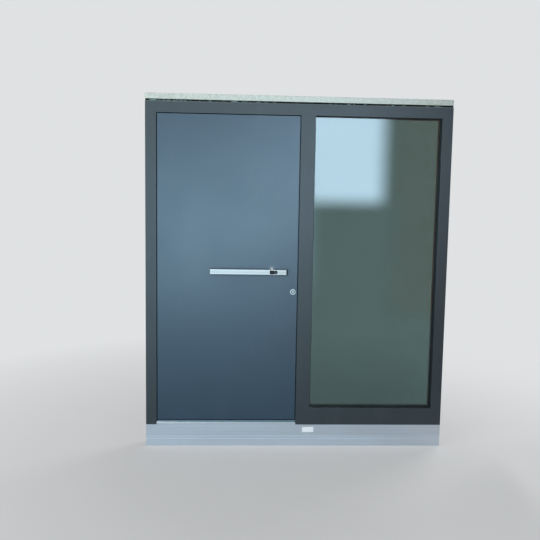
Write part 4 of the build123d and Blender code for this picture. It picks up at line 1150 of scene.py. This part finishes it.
@dataclass
class FixedGlass:
    """The fixed glass unit with its spacers, gaskets, blocks and beads."""

    def build(self) -> None:
        """Dress the glass unit."""
        # The outer pane's deep tint is partly real solar tint and partly painted shade, for the darker
        # scene seen through and mirrored in the glass.
        dress(PaneGlass("solar_glass", (0.088, 0.162, 0.155), 1.7), "glass_outer")
        dress(PaneGlass("float_glass", (0.93, 0.96, 0.95)), "glass_middle", "glass_inner")
        dress(DrawnAluminium("spacer_aluminium", Grain.ALONG_Z, (0.55, 0.57, 0.58)), "glass_spacers")
        dress(SoftRubber("glazing_rubber", (0.012, 0.014, 0.015)), "glazing_gaskets")
        dress(MouldedPlastic("block_plastic", (0.02, 0.02, 0.022)), "setting_blocks")
        dress(FRAME_COAT, "glazing_beads")


@dataclass
class Leaf:
    """The door leaf: two sheets, mitred profiles, breaks, foam core and bottom seal."""

    # The blue in this colour is painted reflection of bluish sky light on a near-neutral anthracite coat.
    colour: Colour = (0.007, 0.042, 0.080)
    sheen: float = 0.38
    gloss: float = 0.95
    dust: Veil = Veil(0.56, 0.8, 0.03)

    def build(self) -> None:
        """Dress the leaf."""
        coat = PowderCoat("leaf_coat", self.colour, self.sheen, gloss=self.gloss, dust=self.dust)
        dress(coat, "leaf_outer_sheet")
        dress(FRAME_COAT, "leaf_inner_sheet", "leaf_outer_profiles", "leaf_inner_profiles")
        dress(MouldedPlastic("leaf_polyamide", (0.022, 0.022, 0.024)), "leaf_thermal_breaks")
        dress(SoftFoam("core_foam", (0.80, 0.74, 0.55), 1400.0), "leaf_core")
        dress(SoftRubber("bottom_rubber"), "leaf_bottom_seal")


@dataclass
class ReaderRim:
    """Thin black rims round the reader's window and its ring."""

    rim: float = 0.0016
    window_rise: float = 0.0003
    window_corner: float = 0.003
    corner_steps: int = 5
    ring_rise: float = 0.0005
    ring_sides: int = 48

    def build(self) -> None:
        """Lay a rim round the window and a slightly thicker one round the ring."""
        both = bmesh.new()
        data = bpy.data.meshes.new("rim")
        for node, rise in (("reader_window", self.window_rise), ("reader_ring", self.ring_rise)):
            rim = self.rim_round(node, rise)
            rim.to_mesh(data)
            rim.free()
            both.from_mesh(data)
        bpy.data.meshes.remove(data)
        black = MouldedPlastic("rim_plastic", (0.006, 0.007, 0.008), shine=0.5, gloss=0.12)
        add_piece("reader_rims", both, black, Body.LEAF)

    def rim_round(self, node: str, rise: float) -> Mesh:
        """Make one rim that lies on the bar's front.

        Args:
            node: The piece that it goes round.
            rise: Its thickness.

        Returns:
            Its closed shape.
        """
        low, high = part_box(node)
        width, height = high.x - low.x + 2 * self.rim, high.z - low.z + 2 * self.rim
        plate = bmesh.new()
        if node == "reader_ring":
            bmesh.ops.create_circle(plate, cap_ends=True, segments=self.ring_sides, radius=width / 2)
        else:
            add_grid(plate, 1, 1, width, height)
            bmesh.ops.bevel(
                plate, geom=plate.verts[:], offset=self.window_corner + self.rim, offset_type="OFFSET",
                segments=self.corner_steps, profile=0.5, affect="VERTICES", material=-1,
            )
        whole = plate.faces[:]
        bmesh.ops.inset_individual(plate, faces=whole, thickness=self.rim, use_even_offset=True)
        bmesh.ops.delete(plate, geom=whole, context="FACES_ONLY")
        turn(plate, 90.0, Axis.X)
        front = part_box("handle_tube")[0].y
        move(plate, ((low.x + high.x) / 2, front, (low.z + high.z) / 2))
        thicken(plate, -rise)
        return plate


@dataclass
class BarHandle:
    """The long brushed bar with its ends, posts and finger reader."""

    steel: Colour = (0.392, 0.360, 0.338)
    glow_watts: float = 0.022
    glow_colour: Colour = (1.0, 0.84, 0.70)
    glow_size: float = 0.008
    glow_reach: float = 0.017
    glow_rise: float = 0.001

    def build(self) -> None:
        """Dress the bar and the reader."""
        height = middle(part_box("handle_tube")).z
        # The darker band along the bar's middle is a painted reflection.
        bar = BrushedSteel("bar_steel", Grain.ALONG_X, self.steel, dark_reflection_height=height)
        dress(bar, "handle_tube", "handle_end_left", "handle_end_ring")
        dress(BrushedSteel("post_steel", Grain.ALONG_Y, self.steel), "handle_posts")
        dress(MouldedPlastic("plug_plastic", (0.008, 0.010, 0.012), gloss=0.15), "handle_end_plug")
        dress(ReaderGlass("window_glass"), "reader_window")
        dress(MouldedPlastic("ring_plastic", (0.008, 0.009, 0.010), shine=0.5, gloss=0.15), "reader_ring")
        # The dish's very dark steel is painted shade.
        dress(BrushedSteel("dish_steel", Grain.ALONG_X, (0.09, 0.094, 0.10)), "reader_dish")
        dress(LitLens("lit_lens"), "reader_light")
        ReaderRim().build()
        self.add_glow()

    def add_glow(self) -> None:
        """Hang the reader's warm light behind the bar's top edge, so that it washes the leaf."""
        low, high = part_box("reader_light")
        data = bpy.data.lights.new("reader_glow", "POINT")
        data.energy = self.glow_watts
        data.color = self.glow_colour
        data.shadow_soft_size = self.glow_size
        lamp = add_object("reader_glow", data)
        leaf_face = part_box("leaf_outer_sheet")[0].y
        lamp.location = ((low.x + high.x) / 2, leaf_face - self.glow_reach, high.z + self.glow_rise)
        lamp.visible_camera = False
        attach(lamp, Body.LEAF.value)


@dataclass
class LockCylinder:
    """The round cylinder with its collars, plug, cam and inside turn."""

    def build(self) -> None:
        """Dress the cylinder."""
        centre = tuple(middle(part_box("cylinder_collars")))
        dress(TurnedMetal("collar_steel", (0.60, 0.61, 0.62), centre), "cylinder_collars", "thumbturn")
        dress(TurnedMetal("plug_nickel", (0.55, 0.55, 0.52), centre), "cylinder_plug", "cylinder_cam")
        # The cylinder body's near-black nickel is painted shade of its recess.
        body = TurnedMetal("body_nickel", (0.055, 0.057, 0.06), centre, rings=1400.0)
        dress(body, "cylinder_bodies")


@dataclass
class InsideLever:
    """The lever on the inner side."""

    def build(self) -> None:
        """Dress the lever."""
        centre = tuple(middle(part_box("lever_rose")))
        dress(BrushedSteel("lever_steel", Grain.ALONG_X), "lever_handle")
        dress(TurnedMetal("rose_steel", (0.78, 0.79, 0.80), centre), "lever_rose")
        dress(PlatedSteel("spindle_steel"), "lever_spindle")


@dataclass
class LockWork:
    """The multi-point lock in the leaf's edge and the plates that it shoots into."""

    def build(self) -> None:
        """Dress the lock."""
        dress(BrushedSteel("faceplate_steel", Grain.ALONG_Z), "lock_faceplate", "strike_plates")
        dress(PlatedSteel("case_zinc", (0.50, 0.52, 0.53)), "lock_cases", "drive_rods")
        dress(PlatedSteel("bolt_plating"), "latch_bolt", "deadbolt", "side_bolts")


@dataclass
class Screws:
    """Countersunk screws with a six-sided socket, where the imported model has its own."""

    head_radius: float = 0.0046
    edge: float = 0.0003
    shank_radius: float = 0.0024
    socket_radius: float = 0.0021
    socket_depth: float = 0.0018
    sides: int = 18

    def build(self) -> None:
        """Replace the plain screws of the frame and of the leaf."""
        finish = PlatedSteel("screw_plating", (0.62, 0.62, 0.60))
        for node, body in (("frame_screws", Body.FRAME), ("leaf_screws", Body.LEAF)):
            mesh = bmesh.new()
            for head, tip in self.places(node):
                self.add_screw(mesh, head, tip)
            bmesh.ops.recalc_face_normals(mesh, faces=mesh.faces)
            piece = add_piece("socket_" + node, mesh, finish, body)
            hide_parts(node)

    def places(self, node: str) -> list[tuple[Vector, Vector]]:
        """Find each screw of a node.

        Args:
            node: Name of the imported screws.

        Returns:
            The middle of each head and tip.
        """
        copy = bmesh.new()
        copy.from_mesh(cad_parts[node].data)
        bmesh.ops.remove_doubles(copy, verts=copy.verts, dist=WELD)
        found, seen = [], set()
        for start in copy.verts:
            if start in seen:
                continue
            seen.add(start)
            island = [start]
            for v in island:
                fresh = [w for w in (e.other_vert(v) for e in v.link_edges) if w not in seen]
                seen.update(fresh)
                island += fresh
            found.append(self.ends([v.co.copy() for v in island]))
        copy.free()
        return found

    def ends(self, points: list[Vector]) -> tuple[Vector, Vector]:
        """Tell one screw's head from its tip.

        Args:
            points: The screw's corners.

        Returns:
            The middle of its head and of its tip.
        """
        low, high = (Vector(tuple(map(pick, zip(*points)))) for pick in (min, max))
        along = max(range(3), key=lambda i: (high - low)[i])
        reach = {}
        for end in (low, high):
            centre = middle((low, high))
            centre[along] = end[along]
            near = [(p - centre).length for p in points if abs(p[along] - end[along]) < SAME_PLANE]
            reach[max(near, default=0.0)] = centre
        return reach[max(reach)], reach[min(reach)]

    def add_screw(self, mesh: Mesh, head: Vector, tip: Vector) -> None:
        """Join rings to one closed screw.

        Args:
            mesh: What it is added to.
            head: Middle of its head.
            tip: Middle of its tip.
        """
        cone = self.head_radius - self.shank_radius
        rings = (
            (self.sides, self.shank_radius, -(head - tip).length, True),
            (self.sides, self.shank_radius, -cone - self.edge, False),
            (self.sides, self.head_radius, -self.edge, False),
            (self.sides, self.head_radius - self.edge, 0.0, False),
            (6, self.socket_radius, 0.0, False),
            (6, self.socket_radius, -self.socket_depth, True),
        )
        place = Matrix.Translation(head) @ (head - tip).to_track_quat("Z", "Y").to_matrix().to_4x4()
        before = None
        for sides, radius, depth, capped in rings:
            spot = place @ Matrix.Translation((0, 0, depth))
            size = {"segments": sides, "radius": radius, "matrix": spot}
            made = bmesh.ops.create_circle(mesh, cap_ends=capped, **size)["verts"]
            loop = list({e for v in made for e in v.link_edges})
            loop.sort(key=lambda e: tuple(e.verts[0].co + e.verts[1].co))
            if before:
                bmesh.ops.bridge_loops(mesh, edges=before + loop)
            before = loop


@dataclass
class Hinges:
    """Three butt hinges on the inner side."""

    def build(self) -> None:
        """Dress the hinges."""
        dress(BrushedSteel("hinge_steel", Grain.ALONG_Z), "hinge_frame_wings", "hinge_leaf_wings")
        dress(BrushedSteel("pin_steel", Grain.ALONG_Z, (0.70, 0.71, 0.72)), "hinge_pins")


def main() -> None:
    """Build the studio and each sub-assembly in order."""
    logging.basicConfig(level=logging.INFO, format="%(name)s: %(message)s")
    assemblies = (
        Studio(), PhotoCamera(), FrameBars(), BaseAndThreshold(), HeadStrip(), FixedGlass(),
        Leaf(), BarHandle(), LockCylinder(), InsideLever(), LockWork(), Screws(), Hinges(),
    )
    for assembly in assemblies:
        assembly.build()
        log.info("done: %s", type(assembly).__name__)


if __name__ == "__main__":
    main()
